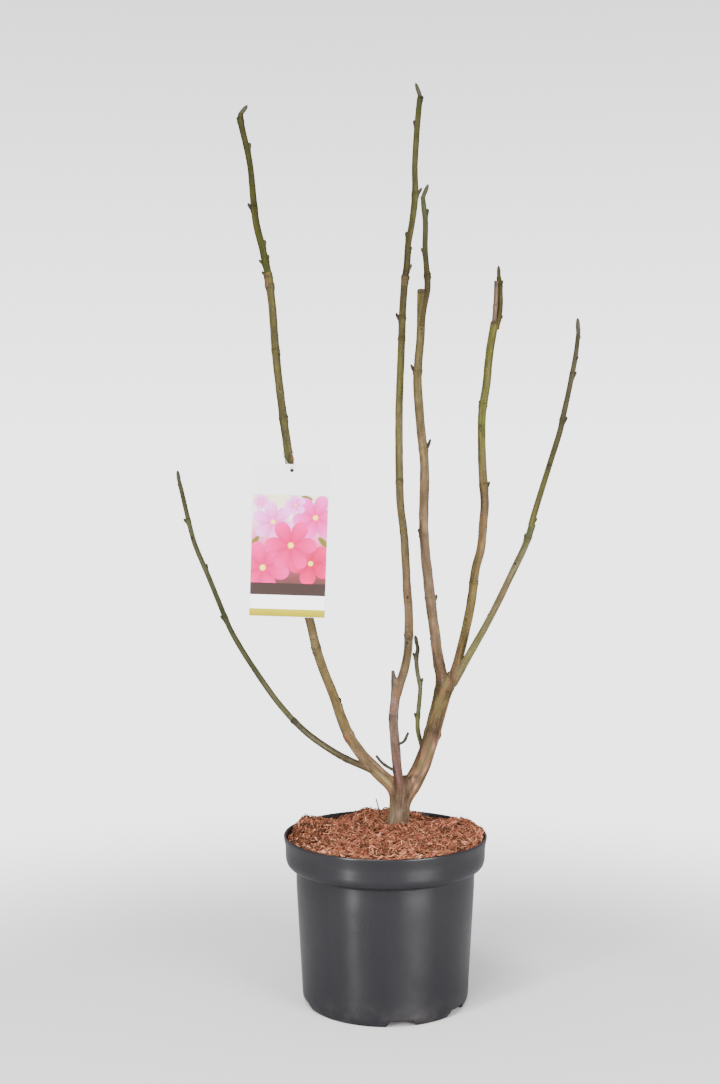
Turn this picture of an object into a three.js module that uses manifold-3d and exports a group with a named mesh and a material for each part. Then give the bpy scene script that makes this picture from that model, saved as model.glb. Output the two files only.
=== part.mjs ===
// A young magnolia in its nursery pot, leafless in winter: a short trunk that forks low into
// three stems, their leaders and the last season's shoots, each limb a closed tapering solid
// of its own, with a hang tag on the left leader and a layer of shredded bark on the soil.
// Millimetres, +Z up. The origin is the centre of the pot's flat underside, on the floor.
// +X runs to the right as the tag faces the viewer, and the tag faces -Y.
import * as THREE from "three";
import { mergeVertices } from "three/addons/utils/BufferGeometryUtils.js";
import Module from "manifold-3d";

const wasm = await Module();
wasm.setup();

// ---------------------------------------------------------------- driving dimensions

const GAP = 0.3;                    // clearance between neighbouring solids
const POT_HEIGHT = 200;
const POT_RIM_RADIUS = 122.2;       // outside, at the top of the rim band
const POT_SHOULDER_RADIUS = 108;    // outside of the body, just under the rim band
const POT_FOOT_RADIUS = 96;         // edge of the flat underside
const POT_WALL = 2;
const RIM_BAND_DEPTH = 34;
const SOIL_TOP = 185;               // level top of the root ball, under the bark
const BARK_EDGE_HEIGHT = 194;       // top of the bark layer against the pot wall
const BARK_CROWN_HEIGHT = 204;      // top of the bark layer round the trunk
const TRUNK_FOOT = new THREE.Vector2(14.5, 34);

const POT_SIDES = 44;
const BOUGH_SIDES = 9;
const SHOOT_SIDES = 7;
const LIMB_STEP = 28;               // spacing of the rings along a limb
const MERGE = 1e-4;                 // corners nearer than this are one

const COLOURS = {
  potPlastic: 0x4c4d52,
  soil: 0x3a2a22,
  shreddedBark: 0xa5644a,
  trunkBark: 0x8d7358,
  pinkishBark: 0x93705f,
  oliveBark: 0x87724a,
  greenBark: 0x6f7038,
  deadWood: 0x8a6c60,
  card: 0xf1f0ec,
  nylon: 0xd9dbd6,
};

// ---------------------------------------------------------------- solids and meshes

// A closed geometry whose shared corners are merged becomes a solid.
function toSolid(geometry) {
  const bare = geometry.clone();
  bare.deleteAttribute("normal");
  bare.deleteAttribute("uv");
  const merged = mergeVertices(bare, MERGE);
  return new wasm.Manifold(new wasm.Mesh({
    numProp: 3,
    vertProperties: new Float32Array(merged.attributes.position.array),
    triVerts: new Uint32Array(merged.index.array),
  }));
}

// A cut can leave loose crumbs: the largest body is the piece.
function largestBody(solid) {
  const bodies = solid.decompose();
  bodies.sort((a, b) => b.volume() - a.volume());
  return bodies[0];
}

function toMesh(name, solid, colour, roughness) {
  const cut = largestBody(solid).getMesh();
  const geometry = new THREE.BufferGeometry();
  geometry.setAttribute("position", new THREE.Float32BufferAttribute(cut.vertProperties, 3));
  geometry.setIndex(new THREE.Uint32BufferAttribute(cut.triVerts, 1));
  geometry.computeVertexNormals();
  const material = new THREE.MeshStandardMaterial({ color: colour, roughness, metalness: 0 });
  const mesh = new THREE.Mesh(geometry, material);
  mesh.name = name;
  return mesh;
}

// The mulberry32 generator: the same run of values from 0 to 1 for the same seed.
function seededRandom(seed) {
  let state = seed;
  return () => {
    state = (state + 0x6d2b79f5) | 0;
    let t = Math.imul(state ^ (state >>> 15), 1 | state);
    t = (t + Math.imul(t ^ (t >>> 7), 61 | t)) ^ t;
    return ((t ^ (t >>> 14)) >>> 0) / 4294967296;
  };
}

// A geometry of revolution about Z, from an axis-to-axis profile of [radius, height].
function turned(profile, sides) {
  const points = profile.map(([radius, height]) => new THREE.Vector2(radius, height));
  const lathe = new THREE.LatheGeometry(points, sides);
  lathe.rotateX(Math.PI / 2);
  return lathe;
}

// ---------------------------------------------------------------- pot

const BAND_FOOT = POT_HEIGHT - RIM_BAND_DEPTH;
const BAND_SEAT = BAND_FOOT + 6;                  // the band's foot is rounded up to here
const BAND_SEAT_RADIUS = POT_RIM_RADIUS - 4.6;    // outside, and the band flares above it
const RIM_EDGE = POT_HEIGHT - 1.4;                // the rim's outer edge is eased above this
const BAND_FLARE = (POT_RIM_RADIUS - BAND_SEAT_RADIUS) / (RIM_EDGE - BAND_SEAT);
const HEEL = { radius: POT_FOOT_RADIUS + 3.6, height: 9 };
const SHOULDER = { radius: POT_SHOULDER_RADIUS - 0.8, height: BAND_FOOT - 23 };
const FILL_GAP = GAP + 0.1;                       // clear of the facets too
const BASE_INSET = 1.5;                           // the hollow's floor is smaller than the foot

const OUTER_PROFILE = [
  [0, 0],
  [POT_FOOT_RADIUS, 0],
  [POT_FOOT_RADIUS + 2.8, 5],
  [HEEL.radius, HEEL.height],
  [SHOULDER.radius, SHOULDER.height],
  [POT_SHOULDER_RADIUS, BAND_FOOT - 2],
  [POT_SHOULDER_RADIUS + 4.5, BAND_FOOT],
  [BAND_SEAT_RADIUS - 1, BAND_FOOT + 2.5],
  [BAND_SEAT_RADIUS, BAND_SEAT],
  [POT_RIM_RADIUS, RIM_EDGE],
  [POT_RIM_RADIUS - 0.7, POT_HEIGHT],
  [0, POT_HEIGHT],
];

// Inside radius of the flaring rim band at a height, one wall thickness in.
function bandRadius(height, wall) {
  return BAND_SEAT_RADIUS - wall + (height - BAND_SEAT) * BAND_FLARE;
}

// The hollow follows the outside one wall thickness in, and is drawn in by `inset` for the fill.
function innerProfile(inset, top) {
  const wall = POT_WALL + inset;
  return [
    [0, wall],
    [POT_FOOT_RADIUS - BASE_INSET - inset, wall],
    [HEEL.radius - wall, HEEL.height],
    [SHOULDER.radius - wall, SHOULDER.height],
    [POT_SHOULDER_RADIUS - wall, BAND_FOOT + 1],
    [bandRadius(BAND_SEAT, wall), BAND_SEAT],
    [bandRadius(top, wall), top],
    [0, top],
  ];
}

// Six drainage notches in the foot, in two groups of three, each a trapezoid cut into the
// underside and the wall and roofed over by the moulding, so the soil stays behind the plastic.
const NOTCH_AZIMUTHS = [-80, -32, 16, 100, 148, 196];
const NOTCH = { width: 35, topWidth: 25, height: 7.5, depth: 20, overshoot: 10 };

function notchCutters(extra) {
  const half = NOTCH.width / 2 + extra;
  const topHalf = NOTCH.topWidth / 2 + extra;
  const outline = new THREE.Shape([
    new THREE.Vector2(-half, -1),
    new THREE.Vector2(half, -1),
    new THREE.Vector2(topHalf, NOTCH.height + extra),
    new THREE.Vector2(-topHalf, NOTCH.height + extra),
  ]);
  const depth = NOTCH.depth + extra + NOTCH.overshoot;
  return NOTCH_AZIMUTHS.map((azimuth) => {
    const block = new THREE.ExtrudeGeometry(outline, { depth, bevelEnabled: false });
    block.rotateX(Math.PI / 2);
    block.translate(0, POT_FOOT_RADIUS + NOTCH.overshoot, 0);
    block.rotateZ(THREE.MathUtils.degToRad(azimuth - 90));
    return toSolid(block);
  });
}

function makePot() {
  const outside = toSolid(turned(OUTER_PROFILE, POT_SIDES));
  let pot = outside.subtract(toSolid(turned(innerProfile(0, POT_HEIGHT + 0.5), POT_SIDES)));
  for (const roof of notchCutters(POT_WALL)) {
    pot = pot.add(roof.intersect(outside));
  }
  for (const notch of notchCutters(0)) {
    pot = pot.subtract(notch);
  }
  return toMesh("pot", pot, COLOURS.potPlastic, 0.42);
}

function makeRootBall() {
  let ball = toSolid(turned(innerProfile(FILL_GAP, SOIL_TOP), POT_SIDES));
  for (const roof of notchCutters(POT_WALL + GAP)) {
    ball = ball.subtract(roof);
  }
  return toMesh("root_ball", ball, COLOURS.soil, 0.95);
}

// ---------------------------------------------------------------- limbs

// Each limb is a route of [x, y, z, diameter] at its natural bends and joints, from its foot
// to its tip. `nodes` are growth rings and leaf scars as [height, swelling]; `buds` stand out
// of the bark as [height, side in degrees, length, spread in degrees from the shoot]. Side 0
// is +X, 90 is +Y, away from the viewer, and 180 is -X. `cutBy` names the limbs that it grows
// from or passes, `end` says whether it stops round in a fork or cut across, and a shoot that
// ends in a bud gives the tip of that `bud`.
const SPUR_SPREAD = 50;
const BUD_SPREAD = 27;
const WIDE_SPREAD = 37;
const RIGHT = 0;
const LEFT = 180;
const FRONT = 270;

const LIMBS = {
  trunk: {
    route: [[TRUNK_FOOT.x, TRUNK_FOOT.y, SOIL_TOP - 4, 34], [15.5, 34, 198, 28.5],
      [16, 34, 208, 25.5], [18, 34, 224, 24.8], [20, 34, 249, 29]],
    sides: 14, end: "round", colour: "trunkBark",
  },
  right_bough: {
    route: [[19, 36, 230, 22], [32, 39, 250, 23], [44, 44, 270, 20.5], [54, 48, 298, 17.8],
      [62, 52, 326, 17.8], [75, 59, 372, 20]],
    nodes: [[303, 0.5], [362, 0.5]], buds: [[299, 20, 5, SPUR_SPREAD]],
    cutBy: ["trunk"], sides: 12, end: "round", colour: "trunkBark",
  },
  left_bough: {
    route: [[18, 34, 235, 14.5], [7, 33, 249, 14.8], [-17, 28, 273, 13.8], [-28, 24, 289, 12.2],
      [-45, 18, 316, 12.2]],
    nodes: [[315, 0.6]],
    cutBy: ["trunk", "right_bough"], end: "cut", colour: "oliveBark",
  },
  centre_stem: {
    route: [[18, 29, 224, 11], [16, 18, 252, 12], [14, 11, 278, 11], [9, 1, 340, 10.8],
      [12, -2, 368, 11], [9, -5, 396, 5]],
    nodes: [[341, 0.4]], buds: [[338, LEFT, 4]],
    cutBy: ["trunk", "right_bough", "left_bough"], end: "round", colour: "pinkishBark",
  },
  left_leader: {
    route: [[-44.6, 18.2, 315, 11.6], [-54, 11, 339, 11.4], [-62, 4, 365, 11],
      [-78, -9, 411, 10.2], [-93, -28, 476, 9.6], [-104, -56, 585, 9.4], [-112, -66, 652, 9.2],
      [-119, -77, 709, 8.5], [-129, -91, 818, 8], [-133, -96, 855, 8.6]],
    nodes: [[425, 0.3], [694, 0.5], [770, 0.3], [845, 0.4]],
    buds: [[421, LEFT, 6], [353, RIGHT, 7], [691, RIGHT, 5], [766, RIGHT, 4], [841, LEFT, 5],
      [842, RIGHT, 5], [851, LEFT, 5]],
    cutBy: ["left_bough"], end: "cut", colour: "oliveBark",
  },
  left_tip_shoot: {
    route: [[-132.8, -95.8, 853, 7.6], [-146, -103, 911, 7], [-152, -108, 974, 6],
      [-160.5, -112, 1018, 6], [-161.5, -112, 1026, 4.8]],
    nodes: [[925, 0.4], [1019, 0.4]],
    buds: [[1018, LEFT, 4], [987, RIGHT, 7], [923, LEFT, 8, WIDE_SPREAD], [882, RIGHT, 7],
      [863, RIGHT, 6], [860, LEFT, 5]],
    bud: [-153.5, -113, 1035], cutBy: ["left_leader"], colour: "greenBark",
  },
  left_low_bough: {
    route: [[-19, 24, 273, 7.6], [-53, 36, 286, 7.4], [-93, 49, 310, 7], [-113, 56, 328, 6.8]],
    nodes: [[283, 0.3], [327, 0.5]], buds: [[280, 110, 7]],
    cutBy: ["left_bough"], end: "cut", colour: "greenBark",
  },
  left_low_shoot: {
    route: [[-112, 55.6, 327, 6.2], [-137, 64, 355, 6.2], [-190, 90, 430, 5.8],
      [-208, 102, 468, 5.6], [-243, 121, 547, 5.2], [-261, 132, 613, 4.8], [-263, 133, 624, 3.8]],
    nodes: [[450, 0.4], [572, 0.4]],
    buds: [[331, 250, 5], [448, LEFT, 7], [510, RIGHT, 6], [569, LEFT, 7, WIDE_SPREAD]],
    bud: [-265.6, 133, 636], cutBy: ["left_low_bough"], colour: "greenBark",
  },
  centre_leader: {
    route: [[14, -2, 370, 9.6], [25, -6, 410, 9.6], [27, -8, 473, 9.4], [17, 0, 604, 8.8],
      [15, 7, 700, 8.5], [20, 15, 827, 7.8], [23, 18, 867, 8.4]],
    nodes: [[440, 0.4], [622, 0.4], [792, 0.5], [817, 0.4], [866, 0.4]],
    buds: [[813, LEFT, 10, WIDE_SPREAD], [621, FRONT, 4], [860, RIGHT, 6]],
    cutBy: ["centre_stem"], end: "cut", colour: "oliveBark",
  },
  centre_tip_shoot: {
    route: [[22.9, 17.9, 865, 7.6], [27, 18, 907, 6.9], [35, 17, 963, 7], [34, 15, 998, 6.3],
      [38, 9, 1063, 6.2], [40, 8, 1076, 5]],
    nodes: [[963, 0.5], [1073, 0.4]],
    buds: [[1072, RIGHT, 4], [1041, LEFT, 7], [962, RIGHT, 10, WIDE_SPREAD], [911, LEFT, 7],
      [896, RIGHT, 5], [874, RIGHT, 7]],
    bud: [34.5, 6, 1091.5], cutBy: ["centre_leader"], colour: "greenBark",
  },
  inner_leader: {
    route: [[75, 59, 367, 14], [61, 53, 434, 12.2], [54, 43, 488, 12], [45, 25, 561, 11.2],
      [46, 5, 632, 10.5], [36, -20, 736, 9.6], [36, -27, 753, 9.4], [39, -35, 786, 9],
      [40, -47, 842, 9]],
    nodes: [[396, 0.4], [480, 0.4], [558, 0.4], [661, 0.4], [751, 0.6]],
    buds: [[749, LEFT, 10, WIDE_SPREAD], [659, RIGHT, 13, WIDE_SPREAD], [557, LEFT, 7],
      [473, RIGHT, 9, WIDE_SPREAD], [424, LEFT, 5]],
    cutBy: ["right_bough"], end: "cut", colour: "oliveBark",
  },
  inner_tip_shoot: {
    route: [[42, -46, 822, 6.4], [47, -47, 845, 6.8], [44.5, -53, 889, 6.1],
      [42, -58, 936, 5.8], [41, -59, 945, 4.8]],
    nodes: [[858, 0.6]], buds: [[857, RIGHT, 4], [925, RIGHT, 7], [883, LEFT, 6]],
    bud: [47.5, -60.5, 960], cutBy: ["inner_leader"], colour: "greenBark",
  },
  right_leader: {
    route: [[80, 60, 367, 11.5], [90, 68, 395, 10.6], [107, 90, 458, 10.4],
      [116, 104, 513, 10.3], [127, 118, 593, 10], [124, 127, 668, 9.4], [125, 132, 713, 9.3],
      [131, 135, 749, 9.3], [135, 138, 785, 9.3], [142, 144, 825, 9.6]],
    nodes: [[494, 0.4], [617, 0.4], [719, 0.5]],
    buds: [[717, LEFT, 6], [612, RIGHT, 9, WIDE_SPREAD], [494, FRONT, 4]],
    cutBy: ["right_bough", "inner_leader"], end: "cut", colour: "oliveBark",
  },
  right_dead_stub: {
    route: [[139.5, 144, 820, 4.6], [141, 142, 850, 4.6], [142, 141, 878, 3.8]],
    cutBy: ["right_leader"], end: "cut", colour: "deadWood",
  },
  right_tip_shoot: {
    route: [[144.5, 146, 817, 5.6], [150, 150, 843, 6.2], [150, 152, 868, 6.2],
      [148, 153, 884, 5]],
    nodes: [[872, 0.5]], buds: [[873, RIGHT, 6], [829, RIGHT, 6]],
    bud: [147.5, 155, 899], cutBy: ["right_leader", "right_dead_stub"], colour: "greenBark",
  },
  right_side_bough: {
    route: [[86, 66, 372, 9], [103, 60, 405, 8.6], [137, 36, 475, 7.6], [153, 18, 515, 7.6],
      [167, 0, 548, 7.4], [173, -14, 571, 7.6]],
    nodes: [[556, 0.5]], buds: [[553, LEFT, 7]],
    cutBy: ["right_leader", "right_bough"], end: "cut", colour: "oliveBark",
  },
  right_side_shoot: {
    route: [[172.7, -13.5, 570, 6.8], [176, -20, 590, 6.8], [200, -68, 696, 6],
      [205, -85, 731, 5.6], [210, -97, 765, 5.4], [211, -107, 788, 4.2]],
    nodes: [[693, 0.4], [743, 0.3]],
    buds: [[574, RIGHT, 6], [690, RIGHT, 7], [740, RIGHT, 6], [781, RIGHT, 5]],
    bud: [210.5, -112, 803.5], cutBy: ["right_side_bough"], colour: "greenBark",
  },
  green_twig: {
    route: [[49, 50, 278, 4.6], [45, 58, 298, 4.8], [41, 61, 317, 4.9], [45, 72, 368, 4.7],
      [40, 82, 402, 4.5], [42, 86, 412, 4.2], [40.5, 88, 420, 3.4]],
    nodes: [[331, 0.4], [372, 0.5], [403, 0.5]],
    buds: [[329, LEFT, 6, WIDE_SPREAD], [371, RIGHT, 6, WIDE_SPREAD],
      [402, LEFT, 6, WIDE_SPREAD]],
    bud: [38.6, 89, 429], cutBy: ["right_bough"], colour: "greenBark",
  },
  left_spur: {
    route: [[14, 11, 272, 2.8], [-5, 1, 286, 2.5], [-11, -2, 293, 2.3]],
    cutBy: ["centre_stem"], sides: 6, end: "round", colour: "deadWood",
  },
  right_spur: {
    route: [[11, 6, 305, 2.6], [25, -1, 315, 2.2], [27, -3.5, 322, 2]],
    cutBy: ["centre_stem"], sides: 6, end: "round", colour: "deadWood",
  },
};

const CURVE_SAMPLES = 24;           // samples of a route between two of its points
const NODE_REACH = 4;               // half the length of the swelling at a node
const ROUNDING = 0.6;               // share of the radius over which an end rounds off
const END_RADIUS = 0.55;            // share of the radius left where the rounding stops
const END_DOME = 0.3;               // height of the end's middle, as a share of its radius

// Distance along a curve at which it climbs through a height.
function distanceAtHeight(curve, height) {
  let low = 0;
  let high = 1;
  for (let halving = 0; halving < 24; halving += 1) {
    const middle = (low + high) / 2;
    if (curve.getPointAt(middle).z < height) {
      low = middle;
    } else {
      high = middle;
    }
  }
  return low * curve.getLength();
}

// A limb laid out along its curve, with the distances of its route's points and its nodes.
function trace(limb) {
  const points = limb.route.map(([x, y, z]) => new THREE.Vector3(x, y, z));
  const curve = new THREE.CatmullRomCurve3(points, false, "centripetal");
  curve.arcLengthDivisions = (points.length - 1) * CURVE_SAMPLES;
  return {
    curve,
    length: curve.getLength(),
    stops: curve.getLengths().filter((_, sample) => sample % CURVE_SAMPLES === 0),
    diameters: limb.route.map((point) => point[3]),
    nodes: (limb.nodes ?? []).map(([height, swell]) => [distanceAtHeight(curve, height), swell]),
    rounded: limb.end !== "cut",
  };
}

// Radius at a distance: tapers between the route's points, swells at the nodes, and rounds
// off over the last stretch where the limb ends in a fork or a bud.
function radiusAt(traced, distance) {
  const { stops, diameters, nodes, length, rounded } = traced;
  let span = 0;
  while (span < stops.length - 2 && stops[span + 1] < distance) {
    span += 1;
  }
  const share = THREE.MathUtils.inverseLerp(stops[span], stops[span + 1], distance);
  let radius = THREE.MathUtils.lerp(diameters[span], diameters[span + 1], share) / 2;
  for (const [node, swelling] of nodes) {
    const away = (distance - node) / NODE_REACH;
    radius += swelling * Math.exp(-away * away);
  }
  const left = (length - distance) / (radius * ROUNDING);
  if (rounded && left < 1) {
    radius *= END_RADIUS + (1 - END_RADIUS) * Math.sqrt(1 - (1 - left) ** 2);
  }
  return radius;
}

// Rings stand at even steps, closer at the nodes and at a rounded end.
function ringDistances({ length, nodes, diameters, rounded }) {
  const steps = Math.max(2, Math.round(length / LIMB_STEP));
  const wanted = Array.from({ length: steps + 1 }, (_, i) => (length * i) / steps);
  for (const [node] of nodes) {
    wanted.push(node - NODE_REACH, node, node + NODE_REACH);
  }
  if (rounded) {
    const tip = diameters[diameters.length - 1] / 2;
    wanted.push(length - tip * ROUNDING, length - (tip * ROUNDING) / 3);
  }
  wanted.sort((a, b) => a - b);
  const spaced = [0];
  for (const distance of wanted) {
    if (distance - spaced[spaced.length - 1] > 1.2 && distance < length - 0.3) {
      spaced.push(distance);
    }
  }
  spaced.push(length);
  return spaced;
}

// A tapering tube: each ring of a unit cylinder is laid on the curve, across its tangent.
// `extra` makes the limb that much thicker and longer all round, to cut a neighbour clear.
function limbTube(limb, extra) {
  const traced = trace(limb);
  const distances = ringDistances(traced);
  const rings = distances.length - 1;
  const sides = limb.sides ?? (limb.colour === "greenBark" ? SHOOT_SIDES : BOUGH_SIDES);
  const tube = new THREE.CylinderGeometry(1, 1, 1, sides, rings);
  tube.deleteAttribute("normal");
  tube.deleteAttribute("uv");
  const merged = mergeVertices(tube, MERGE);
  const position = merged.attributes.position;
  const across = new THREE.Vector3();
  const outward = new THREE.Vector3();
  for (let i = 0; i < position.count; i += 1) {
    const ring = Math.round((position.getY(i) + 0.5) * rings);
    const share = distances[ring] / traced.length;
    const centre = traced.curve.getPointAt(share);
    const tangent = traced.curve.getTangentAt(share);
    across.set(0, 1, 0).cross(tangent).normalize();
    outward.crossVectors(across, tangent);
    const x = position.getX(i);
    const z = position.getZ(i);
    const radius = radiusAt(traced, distances[ring]) + extra;
    centre.addScaledVector(across, x * radius).addScaledVector(outward, z * radius);
    if (ring === 0) {
      centre.addScaledVector(tangent, -extra);
    }
    if (ring === rings) {
      const dome = Math.hypot(x, z) < 0.5 && traced.rounded ? radius * END_DOME : 0;
      centre.addScaledVector(tangent, extra + dome);
    }
    position.setXYZ(i, centre.x, centre.y, centre.z);
  }
  return toSolid(merged);
}

const BUD = {
  sides: 5,
  thickness: 2.7,                   // of a small side bud, at its foot
  plumpThickness: 3.3,              // of a side bud longer than `plumpLength`
  plumpLength: 6,
  tipThickness: 4,                  // of the bud that ends a shoot
  bluntness: 0.36,                  // thickness at its point, as a share of its foot
  rootDepth: 0.45,                  // rooted at this share of the shoot's radius
  sunk: 0.8,                        // and this much deeper along its own line
  tipSunk: 1.5,
};

// A bud is a blunt cone from inside the bark, leaning out of the shoot.
function budSolid(from, direction, length, thickness, extra) {
  const point = (thickness * BUD.bluntness) / 2 + extra;
  const cone = new THREE.CylinderGeometry(point, thickness / 2 + extra, length + extra, BUD.sides);
  cone.translate(0, (length + extra) / 2, 0);
  const turn = new THREE.Quaternion().setFromUnitVectors(new THREE.Vector3(0, 1, 0), direction);
  cone.applyQuaternion(turn);
  cone.translate(from.x, from.y, from.z);
  return toSolid(cone);
}

function sideBud(traced, [height, side, size, spread = BUD_SPREAD], extra) {
  const distance = distanceAtHeight(traced.curve, height);
  const tangent = traced.curve.getTangentAt(distance / traced.length);
  const angle = THREE.MathUtils.degToRad(side);
  const outward = new THREE.Vector3(Math.cos(angle), Math.sin(angle), 0);
  outward.addScaledVector(tangent, -outward.dot(tangent)).normalize();
  const lean = THREE.MathUtils.degToRad(spread);
  const direction = tangent.clone().multiplyScalar(Math.cos(lean));
  direction.addScaledVector(outward, Math.sin(lean));
  const radius = radiusAt(traced, distance);
  const from = traced.curve.getPointAt(distance / traced.length);
  from.addScaledVector(outward, radius * BUD.rootDepth).addScaledVector(direction, -BUD.sunk);
  const length = size + radius * (1 - BUD.rootDepth);
  const thickness = size > BUD.plumpLength ? BUD.plumpThickness : BUD.thickness;
  return budSolid(from, direction, length, thickness, extra);
}

function tipBud(limb, extra) {
  const [x, y, z] = limb.route[limb.route.length - 1];
  const from = new THREE.Vector3(x, y, z);
  const direction = new THREE.Vector3(...limb.bud).sub(from);
  const length = direction.length() + BUD.tipSunk;
  direction.normalize();
  from.addScaledVector(direction, -BUD.tipSunk);
  return budSolid(from, direction, length, BUD.tipThickness, extra);
}

function limbSolid(limb, extra) {
  const traced = trace(limb);
  let body = limbTube(limb, extra);
  for (const bud of limb.buds ?? []) {
    body = body.add(sideBud(traced, bud, extra));
  }
  return limb.bud ? body.add(tipBud(limb, extra)) : body;
}

// The trunk is cut off flat and level where it stands on the soil.
function soilSlab() {
  const breadth = 120;
  const depth = 40;
  const slab = new THREE.BoxGeometry(breadth, breadth, depth);
  slab.translate(TRUNK_FOOT.x, TRUNK_FOOT.y, SOIL_TOP + GAP - depth / 2);
  return toSolid(slab);
}

function makeLimb(name) {
  const limb = LIMBS[name];
  let body = limbSolid(limb, 0);
  for (const neighbour of limb.cutBy ?? []) {
    body = body.subtract(limbSolid(LIMBS[neighbour], GAP));
  }
  if (name === "trunk") {
    body = body.subtract(soilSlab());
  }
  return toMesh(name, body, COLOURS[limb.colour], 0.8);
}

// ---------------------------------------------------------------- shredded bark

const BARK_RINGS = 6;
const BARK_SIDES = 36;
const BARK_SKIRT = 6;               // height of the layer's upright edge, against the pot
const SHREDS = { count: 34, length: [9, 18], width: [2.4, 4.6], thickness: 2.2, seed: 11 };

// The layer stands highest round the trunk and at the back, and has low uneven waves.
function barkHeight(x, y) {
  const out = Math.min(1, Math.hypot(x - 10, y - 10) / POT_SHOULDER_RADIUS);
  const crown = THREE.MathUtils.lerp(BARK_CROWN_HEIGHT, BARK_EDGE_HEIGHT, out * out);
  const wave = Math.sin(x * 0.09 + 1.3) * Math.cos(y * 0.075 - 0.6);
  const ripple = Math.sin(x * 0.21 - y * 0.17);
  return crown + 1.3 * wave + 0.7 * ripple + Math.max(0, y) * 0.02;
}

function makeBark() {
  const foot = SOIL_TOP + GAP;
  const edge = bandRadius(SOIL_TOP, POT_WALL + FILL_GAP);
  const profile = [[0, foot], [edge, foot], [edge + 0.8, foot + BARK_SKIRT]];
  for (let ring = 1; ring <= BARK_RINGS; ring += 1) {
    profile.push([edge * (1 - ring / (BARK_RINGS + 1)) ** 0.85, BARK_EDGE_HEIGHT]);
  }
  profile.push([0, BARK_CROWN_HEIGHT]);
  const layer = turned(profile, BARK_SIDES);
  const position = layer.attributes.position;
  for (let i = 0; i < position.count; i += 1) {
    if (position.getZ(i) > foot + BARK_SKIRT + 1) {
      position.setZ(i, barkHeight(position.getX(i), position.getY(i)));
    }
  }
  let bark = toSolid(layer);
  const random = seededRandom(SHREDS.seed);
  const between = ([low, high]) => THREE.MathUtils.lerp(low, high, random());
  for (let i = 0; i < SHREDS.count; i += 1) {
    const radius = between([22 ** 2, (edge - 13) ** 2]) ** 0.5;
    const angle = random() * Math.PI * 2;
    const x = radius * Math.cos(angle);
    const y = radius * Math.sin(angle);
    const shred = new THREE.BoxGeometry(
      between(SHREDS.length), between(SHREDS.width), SHREDS.thickness);
    shred.rotateY(between([-0.25, 0.25]));
    shred.rotateX(between([-0.3, 0.3]));
    shred.rotateZ(random() * Math.PI);
    shred.translate(x, y, barkHeight(x, y) + 0.3);
    bark = bark.add(toSolid(shred));
  }
  bark = bark.subtract(limbTube(LIMBS.trunk, GAP));
  return toMesh("bark_mulch", bark, COLOURS.shreddedBark, 0.95);
}

// ---------------------------------------------------------------- hang tag and its tie

const TAG = {
  width: 84,
  height: 173,
  thickness: 0.8,
  corner: 2,
  holeRadius: 2.2,
  holeFromTop: 8,
  holeFromLeft: 41.5,
  topLeft: new THREE.Vector3(-149.5, -79, 643.5),
  roll: 1.8,                        // degrees: hangs turned clockwise as the viewer sees it
  pitch: 3,                         // degrees: the foot of the card stands forward
};
const TIE = { radius: 0.5, height: 656, slack: 0.2, turns: 44, sides: 5 };

function tagPlacement() {
  const placement = new THREE.Matrix4().makeRotationX(Math.PI / 2);
  const pitch = new THREE.Matrix4().makeRotationX(THREE.MathUtils.degToRad(-TAG.pitch));
  const roll = new THREE.Matrix4().makeRotationY(THREE.MathUtils.degToRad(TAG.roll));
  placement.premultiply(pitch).premultiply(roll);
  return placement.setPosition(TAG.topLeft);
}

// A card in its own plane, with the top left corner at its origin and Y down its height.
function makeTag() {
  const { width, height, corner } = TAG;
  const card = new THREE.Shape();
  card.moveTo(corner, -height);
  card.lineTo(width - corner, -height);
  card.absarc(width - corner, corner - height, corner, -Math.PI / 2, 0);
  card.lineTo(width, -corner);
  card.absarc(width - corner, -corner, corner, 0, Math.PI / 2);
  card.lineTo(corner, 0);
  card.absarc(corner, -corner, corner, Math.PI / 2, Math.PI);
  card.lineTo(0, corner - height);
  card.absarc(corner, corner - height, corner, Math.PI, Math.PI * 1.5);
  const hole = new THREE.Path();
  hole.absarc(TAG.holeFromLeft, -TAG.holeFromTop, TAG.holeRadius, 0, Math.PI * 2, true);
  card.holes.push(hole);
  const geometry = new THREE.ExtrudeGeometry(card, {
    depth: TAG.thickness, bevelEnabled: false, curveSegments: 4,
  });
  geometry.applyMatrix4(tagPlacement());
  return toMesh("plant_tag", toSolid(geometry), COLOURS.card, 0.45);
}

// The tie is a closed loop of nylon: round the back of the leader, down in front of it and
// through the hole of the card.
function tieLoop() {
  const leader = trace(LIMBS.left_leader);
  const distance = distanceAtHeight(leader.curve, TIE.height);
  const centre = leader.curve.getPointAt(distance / leader.length);
  const round = radiusAt(leader, distance) + GAP + TIE.radius + TIE.slack;
  const nearLeader = (right, back, up) => new THREE.Vector3(
    centre.x + round * right, centre.y + round * back, TIE.height + up);
  const holeTop = TAG.holeRadius - TAG.holeFromTop - TIE.radius - GAP;
  const through = new THREE.Vector3(TAG.holeFromLeft, holeTop, TAG.thickness / 2);
  through.applyMatrix4(tagPlacement());
  const nearHole = (right, back, up) => new THREE.Vector3(right, back, up).add(through);
  return new THREE.CatmullRomCurve3([
    nearLeader(0, 1, 1),
    nearLeader(0.95, 0.3, 0),
    nearLeader(0.8, -0.9, -2),
    nearHole(2.4, -2.6, 7),
    nearHole(0.6, -2.2, 1.2),
    through,
    nearHole(-0.6, 2.2, 1.2),
    nearLeader(-0.5, -1.02, -9),
    nearLeader(-0.95, -0.3, -1),
    nearLeader(-0.7, 0.75, 1),
  ], true, "centripetal");
}

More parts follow.
